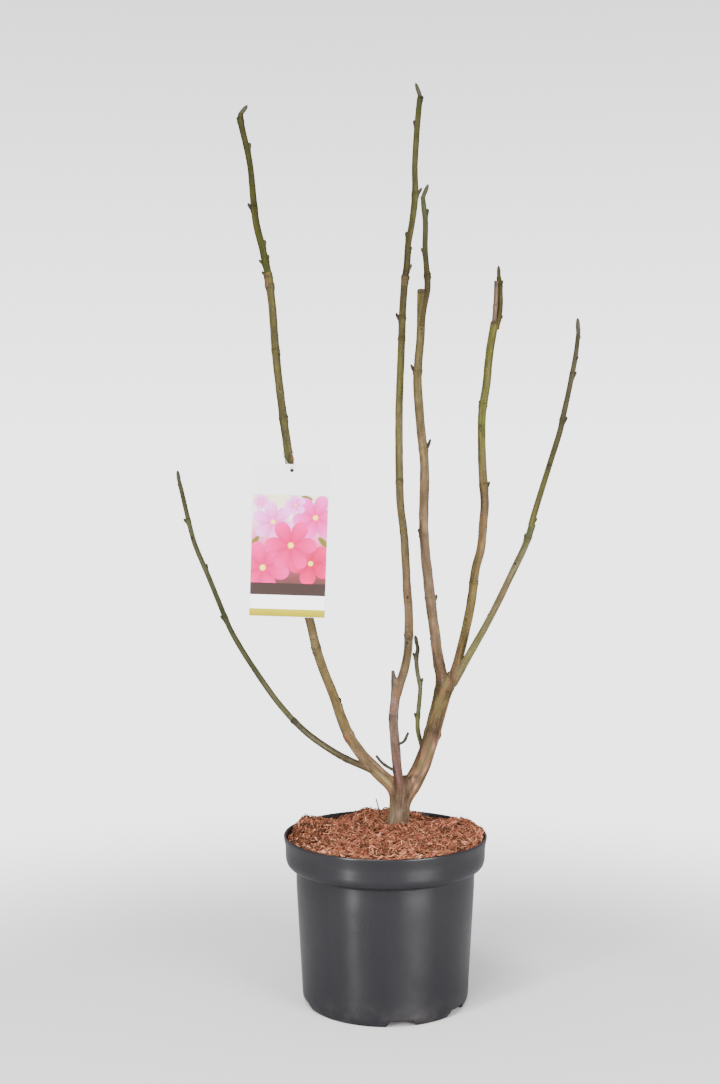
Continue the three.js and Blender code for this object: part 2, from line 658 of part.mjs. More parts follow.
// A torus of 10 by 1 is laid on the loop: its turn gives the place and its tube the section.
function makeTie() {
  const loop = tieLoop();
  const torusRadius = 10;
  const torus = new THREE.TorusGeometry(torusRadius, 1, TIE.sides, TIE.turns);
  torus.deleteAttribute("normal");
  torus.deleteAttribute("uv");
  const merged = mergeVertices(torus, MERGE);
  const position = merged.attributes.position;
  const side = new THREE.Vector3();
  const up = new THREE.Vector3();
  for (let i = 0; i < position.count; i += 1) {
    const x = position.getX(i);
    const y = position.getY(i);
    const turn = Math.round((Math.atan2(y, x) / (2 * Math.PI) + 1) * TIE.turns) % TIE.turns;
    const point = loop.getPointAt(turn / TIE.turns);
    const tangent = loop.getTangentAt(turn / TIE.turns);
    side.set(1, 0.2, 0).cross(tangent).normalize();
    up.crossVectors(side, tangent);
    point.addScaledVector(side, (Math.hypot(x, y) - torusRadius) * TIE.radius);
    point.addScaledVector(up, position.getZ(i) * TIE.radius);
    position.setXYZ(i, point.x, point.y, point.z);
  }
  return toMesh("tag_tie", toSolid(merged), COLOURS.nylon, 0.3);
}

// ---------------------------------------------------------------- assembly

const magnolia = new THREE.Group();
magnolia.add(makePot());
magnolia.add(makeRootBall());
magnolia.add(makeBark());
for (const name of Object.keys(LIMBS)) {
  magnolia.add(makeLimb(name));
}
magnolia.add(makeTag());
magnolia.add(makeTie());

export default magnolia;
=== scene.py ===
"""A young leafless magnolia in its nursery pot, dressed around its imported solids.

The sections follow the plant as it is put together: studio, pot, root ball, shredded bark,
woody framework, leaders, last season's shoots, winter buds, dead twigs, hang tag and its tie.
Lengths in the tables are millimetres in the part's frame: +Z up, +X right, the tag facing -Y.
"""
import math

import bpy
import numpy as np
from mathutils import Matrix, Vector


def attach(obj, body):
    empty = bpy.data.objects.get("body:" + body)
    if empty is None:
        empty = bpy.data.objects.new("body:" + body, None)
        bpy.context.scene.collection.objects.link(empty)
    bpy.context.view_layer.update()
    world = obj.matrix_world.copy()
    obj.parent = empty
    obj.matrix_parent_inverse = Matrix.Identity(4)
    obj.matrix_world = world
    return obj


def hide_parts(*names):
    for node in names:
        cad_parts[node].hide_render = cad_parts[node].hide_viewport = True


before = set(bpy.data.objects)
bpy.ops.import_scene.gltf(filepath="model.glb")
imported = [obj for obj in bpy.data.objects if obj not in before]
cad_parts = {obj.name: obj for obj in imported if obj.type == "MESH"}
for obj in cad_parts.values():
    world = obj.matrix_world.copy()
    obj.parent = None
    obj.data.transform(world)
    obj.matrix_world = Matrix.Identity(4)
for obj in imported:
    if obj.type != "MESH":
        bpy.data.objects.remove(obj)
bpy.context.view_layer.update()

# ------------------------------------------------------------------------------ studio
# The plant stands on a plain pale floor in a bright white room. A tall narrow lamp reaches down
# to the floor at the front left, a broader one that is dimmer for its size stands at the front
# right, and daylight falls softly from above.

MM = 0.001                            # metres
CAMERA_PLACE = (-0.0305, -1.7189, 0.6288)
CAMERA_DIP = 2.615                    # degrees below level
CAMERA_LENS, CAMERA_SENSOR = 48, 36   # millimetres
TALL_LAMPS = {                        # degrees round from the viewer, metres and watts
    "lamp_left": {"azimuth": -40, "distance": 1.5, "size": (0.22, 1.26), "power": 27},
    "lamp_right": {"azimuth": 38, "distance": 1.7, "size": (0.8, 1.26), "power": 43},
}
LAMP_CLEARANCE = 0.01                 # metres from the floor to a lamp's lower edge
DAYLIGHT = {"azimuth": -25, "elevation": 60, "strength": 2.3, "spread": 24}
ROOM_SEEN = (3.3, 3.3, 3.32)          # the white room behind the plant, and higher up
ROOM_SEEN_ABOVE = (1.75, 1.75, 1.79)
ROOM_FADES_UP = (0.02, 0.32)          # rise of a direction over which one turns into the other
GLOW_FRONT = (1.02, 1.02, 1.04)       # what it adds to the light, from the front and behind
GLOW_BACK = (0.72, 0.73, 0.75)
MIRRORED_FRONT = (0.44, 0.43, 0.45)   # and to reflections
MIRRORED_BACK = (0.42, 0.41, 0.43)
ROOM_FADES_BACK = (-0.5, 0.75)        # how far back directions point where front fades to back
FLOOR_COLOUR = (0.80, 0.795, 0.785)
FLOOR_GLOSS = 0.25
# Reflections see the floor darker than its own colour, and darker still close to the pot: painted
# shade in what the pot mirrors.
FLOOR_MIRRORED = (0.36, 0.355, 0.365)        # the floor's colour to reflections
FLOOR_MIRRORED_BY_POT = (0.16, 0.16, 0.17)   # and close to the pot, which shades it
SHADE_FADES = (0.14, 0.44)            # metres out over which that shade fades
FLOOR_REACH = 9.0
FLOOR_FADES = (0.5, 1.3)              # metres out over which the floor turns into the room
FADE_FORWARD = 0.25                   # and how far in front of the pot they are measured from

camera_data = bpy.data.cameras.new("camera")
camera_data.lens = CAMERA_LENS
camera_data.sensor_width = CAMERA_SENSOR
camera = bpy.data.objects.new("camera", camera_data)
camera.location = CAMERA_PLACE
camera.rotation_euler = (math.radians(90 - CAMERA_DIP), 0, 0)
bpy.context.scene.collection.objects.link(camera)
bpy.context.scene.camera = camera


def towards(azimuth, elevation):
    """The direction so many degrees round from the viewer, clockwise, and up from level."""
    azimuth, elevation = math.radians(azimuth), math.radians(elevation)
    return Vector((math.sin(azimuth) * math.cos(elevation),
                   -math.cos(azimuth) * math.cos(elevation), math.sin(elevation)))


for lamp_name, lamp in TALL_LAMPS.items():
    panel = bpy.data.lights.new(lamp_name, "AREA")
    panel.shape = "RECTANGLE"
    panel.size, panel.size_y = lamp["size"]
    panel.energy = lamp["power"]
    stand = bpy.data.objects.new(lamp_name, panel)
    direction = towards(lamp["azimuth"], 0)
    middle_height = lamp["size"][1] / 2 + LAMP_CLEARANCE
    stand.location = direction * lamp["distance"] + Vector((0, 0, middle_height))
    stand.rotation_euler = direction.to_track_quat("Z", "Y").to_euler()
    stand.visible_camera = False
    bpy.context.scene.collection.objects.link(stand)
sun = bpy.data.lights.new("daylight", "SUN")
sun.energy = DAYLIGHT["strength"]
sun.angle = math.radians(DAYLIGHT["spread"])
stand = bpy.data.objects.new("daylight", sun)
stand.rotation_euler = towards(DAYLIGHT["azimuth"], DAYLIGHT["elevation"]).to_track_quat(
    "Z", "Y").to_euler()
bpy.context.scene.collection.objects.link(stand)


def wire(tree, kind, settings=None, **inputs):
    """A node of a kind, with its settings, its constants and what feeds its sockets. A socket
    is named in lower case with underscores, or is a number after the letter n."""
    node = tree.nodes.new(kind)
    for key, value in (settings or {}).items():
        setattr(node, key, value)
    sockets = {s.name.lower().replace(" ", "_"): s for s in reversed(node.inputs) if s.enabled}
    for key, value in inputs.items():
        socket = node.inputs[int(key[1:])] if key[1:].isdigit() else sockets[key]
        if isinstance(value, bpy.types.NodeSocket):
            tree.links.new(value, socket)
        else:
            socket.default_value = value
    return node


def ranged(tree, value, start, end, low=0.0, high=1.0, smooth=False):
    """A value as a share that runs from low where it is `start` to high where it is `end`,
    straight or on a smooth step, and is held beyond them."""
    settings = {"interpolation_type": "SMOOTHSTEP" if smooth else "LINEAR"}
    return wire(tree, "ShaderNodeMapRange", settings, value=value, from_min=start, from_max=end,
                to_min=low, to_max=high).outputs[0]


def blend_colour(tree, share, first, second, blend="MIX"):
    """Two colours or sockets mixed by a share. Returns the colour socket."""
    node = tree.nodes.new("ShaderNodeMix")
    node.data_type, node.blend_type = "RGBA", blend
    for socket, value in zip((node.inputs[0], node.inputs[6], node.inputs[7]),
                             (share, first, second)):
        if isinstance(value, bpy.types.NodeSocket):
            tree.links.new(value, socket)
        else:
            socket.default_value = value if np.isscalar(value) else (*value[:3], 1)
    return node.outputs[2]


room = bpy.data.worlds.new("white_room")
room.use_nodes = True
bpy.context.scene.world = room
air = room.node_tree
way = wire(air, "ShaderNodeSeparateXYZ", n0=wire(air, "ShaderNodeTexCoord").outputs["Generated"])
upward = ranged(air, way.outputs["Z"], *ROOM_FADES_UP)
rearward = ranged(air, way.outputs["Y"], *ROOM_FADES_BACK)
ray = wire(air, "ShaderNodeLightPath")
lit = blend_colour(air, ray.outputs["Is Glossy Ray"],
                   blend_colour(air, rearward, GLOW_FRONT, GLOW_BACK),
                   blend_colour(air, rearward, MIRRORED_FRONT, MIRRORED_BACK))
shown = blend_colour(air, ray.outputs["Is Camera Ray"], lit,
                     blend_colour(air, upward, ROOM_SEEN, ROOM_SEEN_ABOVE))
air.links.new(shown, air.nodes["Background"].inputs["Color"])


def plain_material(name, colour, roughness):
    """A material with one Principled shader. Returns it with its node tree and the shader."""
    made = bpy.data.materials.new(name)
    made.use_nodes = True
    shader = made.node_tree.nodes["Principled BSDF"]
    shader.inputs["Base Color"].default_value = (*colour[:3], 1)
    shader.inputs["Roughness"].default_value = roughness
    return made, made.node_tree, shader


def put_mesh(name, points, quads, triangles=(), smooth=True):
    """An object at the origin from corner places in millimetres, four-sided and three-sided
    faces, both as arrays of corner numbers."""
    quads = np.asarray(quads, np.int32).reshape(-1, 4)
    triangles = np.asarray(triangles, np.int32).reshape(-1, 3)
    mesh = bpy.data.meshes.new(name)
    mesh.vertices.add(len(points))
    mesh.vertices.foreach_set("co", (np.asarray(points) * MM).astype(np.float32).ravel())
    corners = np.concatenate([quads.ravel(), triangles.ravel()])
    starts = np.concatenate([np.arange(len(quads)) * 4,
                             len(quads) * 4 + np.arange(len(triangles)) * 3])
    mesh.loops.add(len(corners))
    mesh.loops.foreach_set("vertex_index", corners)
    mesh.polygons.add(len(starts))
    mesh.polygons.foreach_set("loop_start", starts.astype(np.int32))
    mesh.update(calc_edges=True)
    mesh.polygons.foreach_set("use_smooth", np.full(len(starts), smooth))
    piece = bpy.data.objects.new(name, mesh)
    bpy.context.scene.collection.objects.link(piece)
    return piece


half = FLOOR_REACH / MM
floor = put_mesh("floor", [(-half, -half, 0), (half, -half, 0), (half, half, 0), (-half, half, 0)],
                 [(0, 1, 2, 3)])
pale, tree, shader = plain_material("pale_floor", FLOOR_COLOUR, 0.75)
shader.inputs["Specular IOR Level"].default_value = FLOOR_GLOSS
place = wire(tree, "ShaderNodeTexCoord").outputs["Object"]
forward = wire(tree, "ShaderNodeMapping", n0=place, location=(0, FADE_FORWARD, 0)).outputs[0]
out_from_pot = wire(tree, "ShaderNodeVectorMath", {"operation": "LENGTH"}, n0=forward)
fade = ranged(tree, out_from_pot.outputs["Value"], *FLOOR_FADES, smooth=True)
ray = wire(tree, "ShaderNodeLightPath")
lit = blend_colour(tree, ray.outputs["Is Glossy Ray"], GLOW_FRONT, MIRRORED_BACK)
# Painted shade: glossy rays see the floor in a darker colour than it has, darkest close to the pot.
off_pot = ranged(tree, out_from_pot.outputs["Value"], *SHADE_FADES, smooth=True)
mirrored = blend_colour(tree, off_pot, FLOOR_MIRRORED_BY_POT, FLOOR_MIRRORED)
tree.links.new(blend_colour(tree, ray.outputs["Is Glossy Ray"], FLOOR_COLOUR, mirrored),
               shader.inputs["Base Color"])
shown = blend_colour(tree, ray.outputs["Is Camera Ray"], lit, ROOM_SEEN)
into_room = wire(tree, "ShaderNodeMixShader", n0=fade, n1=shader.outputs[0],
                 n2=wire(tree, "ShaderNodeEmission", color=shown).outputs[0])
tree.links.new(into_room.outputs[0], tree.nodes["Material Output"].inputs["Surface"])
floor.data.materials.append(pale)

# ------------------------------------------------------------------------------ pot
# The nursery pot is moulded polypropylene, two millimetres thick, charcoal and satin. Its rim
# band flares and is rounded at its foot, and six drainage notches are moulded into its base.

RIM_RADIUS, RIM_HEIGHT = 122.2, 200.0
BAND_SEAT_RADIUS = RIM_RADIUS - 4.6   # the wall's, where the rim band stands proud of it
POT_WALL = 2.0
POT_TURNS = 360
OUT_OF_ROUND = 0.0022                 # the thin wall isn't quite round, least of all its top
NOTCHES = {                           # the roof is flat over its own width, and then slopes
    "azimuths": (-80, -32, 16, 100, 148, 196), "width": 35, "roof_width": 25, "height": 7.5,
    "inner_radius": 76}
POT_OUTSIDE = [                       # radius, height, and how far each corner is eased
    (0, 0, 0), (75.9, 0, 0), (76.3, 0, 0), (96, 0, 1.0), (98.8, 5, 1.5), (99.6, 9, 2),
    (100.6, 29, 6), (106.9, 140, 10), (107.2, 160.4, 0.5), (108.4, 162.0, 0.6),
    (113.2, 162.8, 2.0), (117.8, 166.2, 3), (BAND_SEAT_RADIUS + 2.0, 172, 3),
    (BAND_SEAT_RADIUS + 2.3, 187, 4), (RIM_RADIUS - 0.5, 196, 2), (RIM_RADIUS, 198.7, 0.7),
    (RIM_RADIUS - 0.7, 200, 0.6),
]
POT_INSIDE = [
    (RIM_RADIUS - 2.3, 199.8, 0.4), (RIM_RADIUS - 2.9, 197, 0.6), (BAND_SEAT_RADIUS - 2, 172, 2),
    (106, 167, 1.5), (105.2, 143, 4), (97.6, 9, 2), (94.5, 2, 1), (74.3, 2, 0), (73.9, 2, 0),
    (0, 2, 0),
]


def eased(corners, steps=4):
    """A profile whose corners are bent over on parabolas: from the point `ease` before a
    corner c to the point `ease` after it, it runs (1-t)^2 a + 2t(1-t) c + t^2 b."""
    corners = np.array(corners, float)
    run = [corners[0, :2]]
    for before, (radius, height, ease), after in zip(corners, corners[1:], corners[2:]):
        corner = np.array((radius, height))
        if ease == 0:
            run.append(corner)
            continue
        ends = [corner + (side[:2] - corner) * min(0.45, ease / np.linalg.norm(side[:2] - corner))
                for side in (before, after)]
        for t in np.linspace(0, 1, steps):
            run.append((1 - t) ** 2 * ends[0] + 2 * t * (1 - t) * corner + t ** 2 * ends[1])
    run.append(corners[-1, :2])
    return np.array(run)


def turned(profile, turns):
    """A profile of (radius, height) turned round Z: x = r cos a, y = r sin a, z = height."""
    angle = np.linspace(0, 2 * np.pi, turns, endpoint=False)
    radius, height = profile[:, 0, None], profile[:, 1, None]
    return np.stack([radius * np.cos(angle), radius * np.sin(angle),
                     height + 0 * angle], axis=-1)


def grid_quads(rows, columns, around=True, closed=False):
    """Faces of a grid of corners, each joined to the next in its row and in the row above.
    The last column joins the first where the grid goes around, and the last row joins the
    first where it is closed."""
    row, column = np.meshgrid(np.arange(rows - (not closed)), np.arange(columns - (not around)),
                              indexing="ij")
    across, above = (column + 1) % columns, (row + 1) % rows
    quads = np.stack([row * columns + column, row * columns + across,
                      above * columns + across, above * columns + column], axis=-1)
    return quads.reshape(-1, 4)


def fan(centre, ring, flip=False):
    """Triangles from one corner to each pair of neighbours in a closed ring of corners."""
    ring = np.asarray(ring)
    triangles = np.stack([np.full(len(ring), centre), ring, np.roll(ring, -1)], axis=-1)
    return triangles[:, ::-1] if flip else triangles


def both_ends(rings, sides, flip=False):
    """Fans that close the first and the last ring of a tube, each round a middle corner. The
    two middle corners come after all the rings. Flipped where the rings run the other way."""
    count, ring = rings * sides, np.arange(sides)
    return np.concatenate([fan(count, ring, flip), fan(count + 1, count - sides + ring, not flip)])


def under_roofs(points, roof_rise):
    """Lifts what lies under a notch's roof up to it. Across a notch the roof stands
    min(height, (half width - offset) * slope) high, and a wall's rise above that inside. The
    offset is the way across the notch, 90 mm or more out from the pot's axis."""
    slope = NOTCHES["height"] / ((NOTCHES["width"] - NOTCHES["roof_width"]) / 2)
    radius = np.hypot(points[..., 0], points[..., 1])
    turn = np.arctan2(points[..., 1], points[..., 0])
    inside = radius > NOTCHES["inner_radius"] - roof_rise
    for azimuth in NOTCHES["azimuths"]:
        away = turn - math.radians(azimuth)
        ahead = np.cos(away) > 0.5
        offset = np.abs(np.sin(away)) * np.maximum(radius, 90)
        roof = np.clip((NOTCHES["width"] / 2 + roof_rise - offset) * slope, 0,
                       NOTCHES["height"] + roof_rise)
        lifted = np.maximum(points[..., 2], roof)
        points[..., 2] = np.where(inside & ahead & (roof > 0), lifted, points[..., 2])
    return points


outside = turned(eased(POT_OUTSIDE)[1:], POT_TURNS)
inside = turned(eased(POT_INSIDE)[:-1], POT_TURNS)
shell = np.concatenate([under_roofs(outside, 0), under_roofs(inside, POT_WALL)])
way_up = shell[..., 2] / RIM_HEIGHT
turn = np.arctan2(shell[..., 1], shell[..., 0])
waves = 1 + np.sin(3 * turn + 0.6) * 0.6 + np.sin(5 * turn + 2) * 0.4
shell[..., :2] *= (1 - OUT_OF_ROUND * way_up * waves)[..., None]
points = np.concatenate([shell.reshape(-1, 3), [(0, 0, 0), (0, 0, POT_WALL)]])
pot = put_mesh("nursery_pot", points, grid_quads(len(shell), POT_TURNS),
               both_ends(len(shell), POT_TURNS, flip=True))


def noise(tree, place, scale, detail, roughness=0.5):
    """Soft noise of a scale and so many finer layers at a place. Returns its value."""
    return wire(tree, "ShaderNodeTexNoise", vector=place, scale=scale, detail=detail,
                roughness=roughness).outputs[0]


def ramp(tree, value, stops):
    """A colour ramp fed by a value, from (place, grey or colour) stops. Returns its colour."""
    node = wire(tree, "ShaderNodeValToRGB", n0=value)
    band = node.color_ramp
    while len(band.elements) < len(stops):
        band.elements.new(0.5)
    for element, (place, tone) in zip(band.elements, stops):
        element.position = place
        element.color = (tone, tone, tone, 1) if np.isscalar(tone) else (*tone, 1)
    return node.outputs["Color"]


def reckoned(tree, operation, *values):
    """The result of a math operation on values and sockets."""
    return wire(tree, "ShaderNodeMath", {"operation": operation},
                **{f"n{i}": value for i, value in enumerate(values)}).outputs[0]


def bump(tree, height, shader, strength, depth):
    """Feeds a height to a shader's normal, as a bump so many metres deep."""
    node = wire(tree, "ShaderNodeBump", strength=strength, distance=depth, height=height)
    tree.links.new(node.outputs[0], shader.inputs["Normal"])


plastic, tree, shader = plain_material("charcoal_plastic", (0.0125, 0.0118, 0.0134), 0.34)
place = wire(tree, "ShaderNodeTexCoord").outputs["Object"]
flow_place = wire(tree, "ShaderNodeMapping", n0=place, scale=(38, 38, 3)).outputs[0]
flow = noise(tree, flow_place, 1.0, 4)
grain = noise(tree, place, 1400, 2)
cloud = noise(tree, place, 26, 6, 0.65)
height_up = wire(tree, "ShaderNodeSeparateXYZ", n0=place).outputs["Z"]
low_dust = ranged(tree, height_up, 0.03, 0.0, 0.0, 0.8)
dusty = reckoned(tree, "MULTIPLY", low_dust, ramp(tree, cloud, [(0.44, 0.0), (0.68, 1.0)]))
toned = blend_colour(tree, flow, (0.0112, 0.0106, 0.0124), (0.0190, 0.0180, 0.0208))
coated = blend_colour(tree, dusty, toned, (0.05, 0.044, 0.041))
tree.links.new(coated, shader.inputs["Base Color"])
tree.links.new(ranged(tree, cloud, 0.3, 0.75, 0.26, 0.36), shader.inputs["Roughness"])
shader.inputs["Anisotropic"].default_value = 0.7      # drawn up and down by the mould's polish
shader.inputs["Anisotropic Rotation"].default_value = 0.25
bump(tree, reckoned(tree, "MULTIPLY_ADD", flow, 3.0, grain), shader, 0.35, 0.00006)
pot.data.materials.append(plastic)
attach(pot, "root")
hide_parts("pot")

# ------------------------------------------------------------------------------ root ball
# Moist peat and bark fill the pot under the shreds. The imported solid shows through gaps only,
# so it keeps its shape and gets a dark crumbly finish.


def effect_group(name, inputs, outputs):
    """An empty node group with inputs and outputs of the given names and kinds. Returns it
    with the sockets that give its inputs and those that take its outputs."""
    group = bpy.data.node_groups.new(name, "ShaderNodeTree")
    for in_out, sockets in (("INPUT", inputs), ("OUTPUT", outputs)):
        for socket_name, kind in sockets.items():
            group.interface.new_socket(socket_name, in_out=in_out, socket_type=f"NodeSocket{kind}")
    taken_in, put_out = group.nodes.new("NodeGroupInput"), group.nodes.new("NodeGroupOutput")
    return group, taken_in.outputs, put_out.inputs


# Fine crumbs, fibres or down: noise of a scale and so many finer layers, as a height.
fine_relief, given, wanted = effect_group(
    "fine_relief", {"Place": "Vector", "Scale": "Float", "Detail": "Float", "Roughness": "Float"},
    {"Height": "Float"})
fine_noise = noise(fine_relief, given["Place"], given["Scale"], given["Detail"],
                   given["Roughness"])
fine_relief.links.new(fine_noise, wanted["Height"])


def relief(tree, scale, detail, roughness=0.5):
    """The fine relief at a piece's Object coordinates. Returns its height."""
    place = wire(tree, "ShaderNodeTexCoord").outputs["Object"]
    return wire(tree, "ShaderNodeGroup", {"node_tree": fine_relief}, place=place, scale=scale,
                detail=detail, roughness=roughness).outputs["Height"]


peat, tree, shader = plain_material("moist_peat", (0.03, 0.02, 0.014), 0.95)
crumbs = relief(tree, 420, 8, 0.7)
peat_tone = ramp(tree, crumbs, [(0.35, (0.012, 0.008, 0.006)), (0.7, (0.07, 0.045, 0.03))])
tree.links.new(peat_tone, shader.inputs["Base Color"])
bump(tree, crumbs, shader, 0.8, 0.001)
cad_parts["root_ball"].material_slots[0].material = peat

# ------------------------------------------------------------------------------ shredded bark
# Shredded conifer bark is scattered over the peat: torn strips from hair-fine to four
# millimetres across, reddish, with some pale and some dark ones. They lie on a bed of crumbs
# and are heaped round the trunk and against most of the wall.

BED_RADIUS = 116.4
BED_FOOT = 185.6
BED_DEPTH = 4.2                       # how far the crumbs lie under the top of the layer
LAYER_MIDDLE = 201.6                  # the top's height in the middle of the pot
HEAP_AT_WALL = 199.0                  # what a higher heap falls to in its last millimetres
STREWN_OVER = 3.5                     # how far over the bed's edge shreds are strewn at first
WALL_ROOM = 0.9                       # how much further out than the bed they may end
LIP_ROOM = 3.9                        # and how much more than that where they are over the rim
ALONG_WALL = 9                        # how near the wall shreds lie along it
TRUNK_FOOT = (14.5, 34.0)
TRUNK_LEAN = 1.0                      # how much further right the trunk leaves the shreds
TRUNK_ROOM = 14.6                     # radius round it that shreds keep out of
SHRED_TONES = {                       # colour and share of each kind of shred, from dark to pale
    "shred_dark": ((0.041, 0.022, 0.009), 0.10),
    "shred_umber": ((0.108, 0.047, 0.023), 0.18),
    "shred_mossy": ((0.207, 0.117, 0.047), 0.02),
    "shred_rust": ((0.218, 0.063, 0.035), 0.19),
    "shred_terracotta": ((0.329, 0.106, 0.058), 0.24),
    "shred_tan": ((0.404, 0.179, 0.089), 0.10),
    "shred_salmon": ((0.526, 0.211, 0.122), 0.13),
    "shred_pale": ((0.677, 0.348, 0.207), 0.03),
}
# Height of the layer at the wall, by azimuth: heaped at both sides and at the back, with the
# pot's wall laid bare between; then hollows in it, as (x, y, depth, reach along x, along y).
EDGE_HEIGHTS = [
    (0, 199), (12, 203), (25, 205.5), (38, 200), (48, 193), (60, 192), (69, 198), (77, 203.5),
    (90, 203), (103, 204), (110, 199), (117, 192), (130, 190.5), (138, 197), (145, 206), (153, 207),
    (161, 201), (169, 193.5), (177, 190), (190, 190.5), (199, 195), (208, 199), (225, 200),
    (270, 200.5), (300, 200.5), (322, 197), (333, 195), (345, 198),
]
HOLLOWS = [(-6, 56, 5.5, 8, 6), (-47, 77, 3.5, 16, 8), (62, 62, 2.5, 18, 7), (-18, -30, 2, 14, 9)]


def soft_noise(places, seed):
    """Smooth values from -1 to 1 in space. Each corner of a unit lattice has a value hashed
    from its three whole numbers, and between corners they blend by 3t^2 - 2t^3 on each axis."""
    places = np.asarray(places, float)
    cell = np.floor(places).astype(np.int64)
    share = places - cell
    share = share * share * (3 - 2 * share)
    total = np.zeros(places.shape[:-1])
    for corner in np.ndindex(2, 2, 2):
        weight = np.prod(np.where(corner, share, 1 - share), axis=-1)
        x, y, z = np.moveaxis(cell + corner, -1, 0)
        mixed = (x * 73856093) ^ (y * 19349663) ^ (z * 83492791) ^ (seed * 2654435761)
        mixed = ((mixed ^ (mixed >> 13)) * 1274126177) & 0xFFFFFFFF
        mixed = ((mixed ^ (mixed >> 15)) * 2246822519) & 0xFFFFFFFF
        total += weight * (mixed / 0x7FFFFFFF - 1)
    return total


def level_noise(x, y, size, seed):
    """Soft noise on the level, whose clumps are so many millimetres across."""
    return soft_noise(np.stack([x / size, y / size, 0 * x], -1), seed)


def bark_height(x, y):
    """Top of the layer: from the middle's height it turns to the wall's by the cube of the way
    out, and a heap drops over the last of it. Round the trunk it swells, each hollow takes
    depth exp(-(dx/reach)^2 - (dy/reach)^2) off it, and clumps of soft noise roughen it."""
    out = np.minimum(1.02, np.hypot(x, y) / BED_RADIUS)
    azimuth = np.degrees(np.arctan2(y, x)) % 360
    edge = np.interp(azimuth, *zip(*EDGE_HEIGHTS), period=360)
    height = LAYER_MIDDLE + (edge - LAYER_MIDDLE) * out ** 3
    height = height - np.maximum(0, edge - HEAP_AT_WALL) * np.clip((out - 0.93) / 0.09, 0, 1) ** 2
    trunk = np.hypot(x - TRUNK_FOOT[0], y - TRUNK_FOOT[1])
    height = height + 1.6 * np.exp(-((trunk - 14) / 7) ** 2)
    for hollow_x, hollow_y, depth, reach_x, reach_y in HOLLOWS:
        height = height - depth * np.exp(-((x - hollow_x) / reach_x) ** 2
                                         - ((y - hollow_y) / reach_y) ** 2)
    return height + 2.0 * level_noise(x, y, 9, 21) + 1.5 * level_noise(x, y, 4.2, 22)


def put_many(name, points, quads, triangles, kinds, materials, smooth=True):
    """Many like shapes in one mesh, from the corners of each and the faces of the first. A
    shape's kind is the number of its material."""
    count, each = points.shape[:2]
    shift = (np.arange(count) * each)[:, None, None]
    piece = put_mesh(name, points.reshape(-1, 3), (quads + shift).reshape(-1, 4),
                     (triangles + shift).reshape(-1, 3), smooth)
    for material in materials:
        piece.data.materials.append(material)
    dealt = np.concatenate([np.repeat(kinds, len(quads)), np.repeat(kinds, len(triangles))])
    piece.data.polygons.foreach_set("material_index", dealt.astype(np.int32))
    return piece


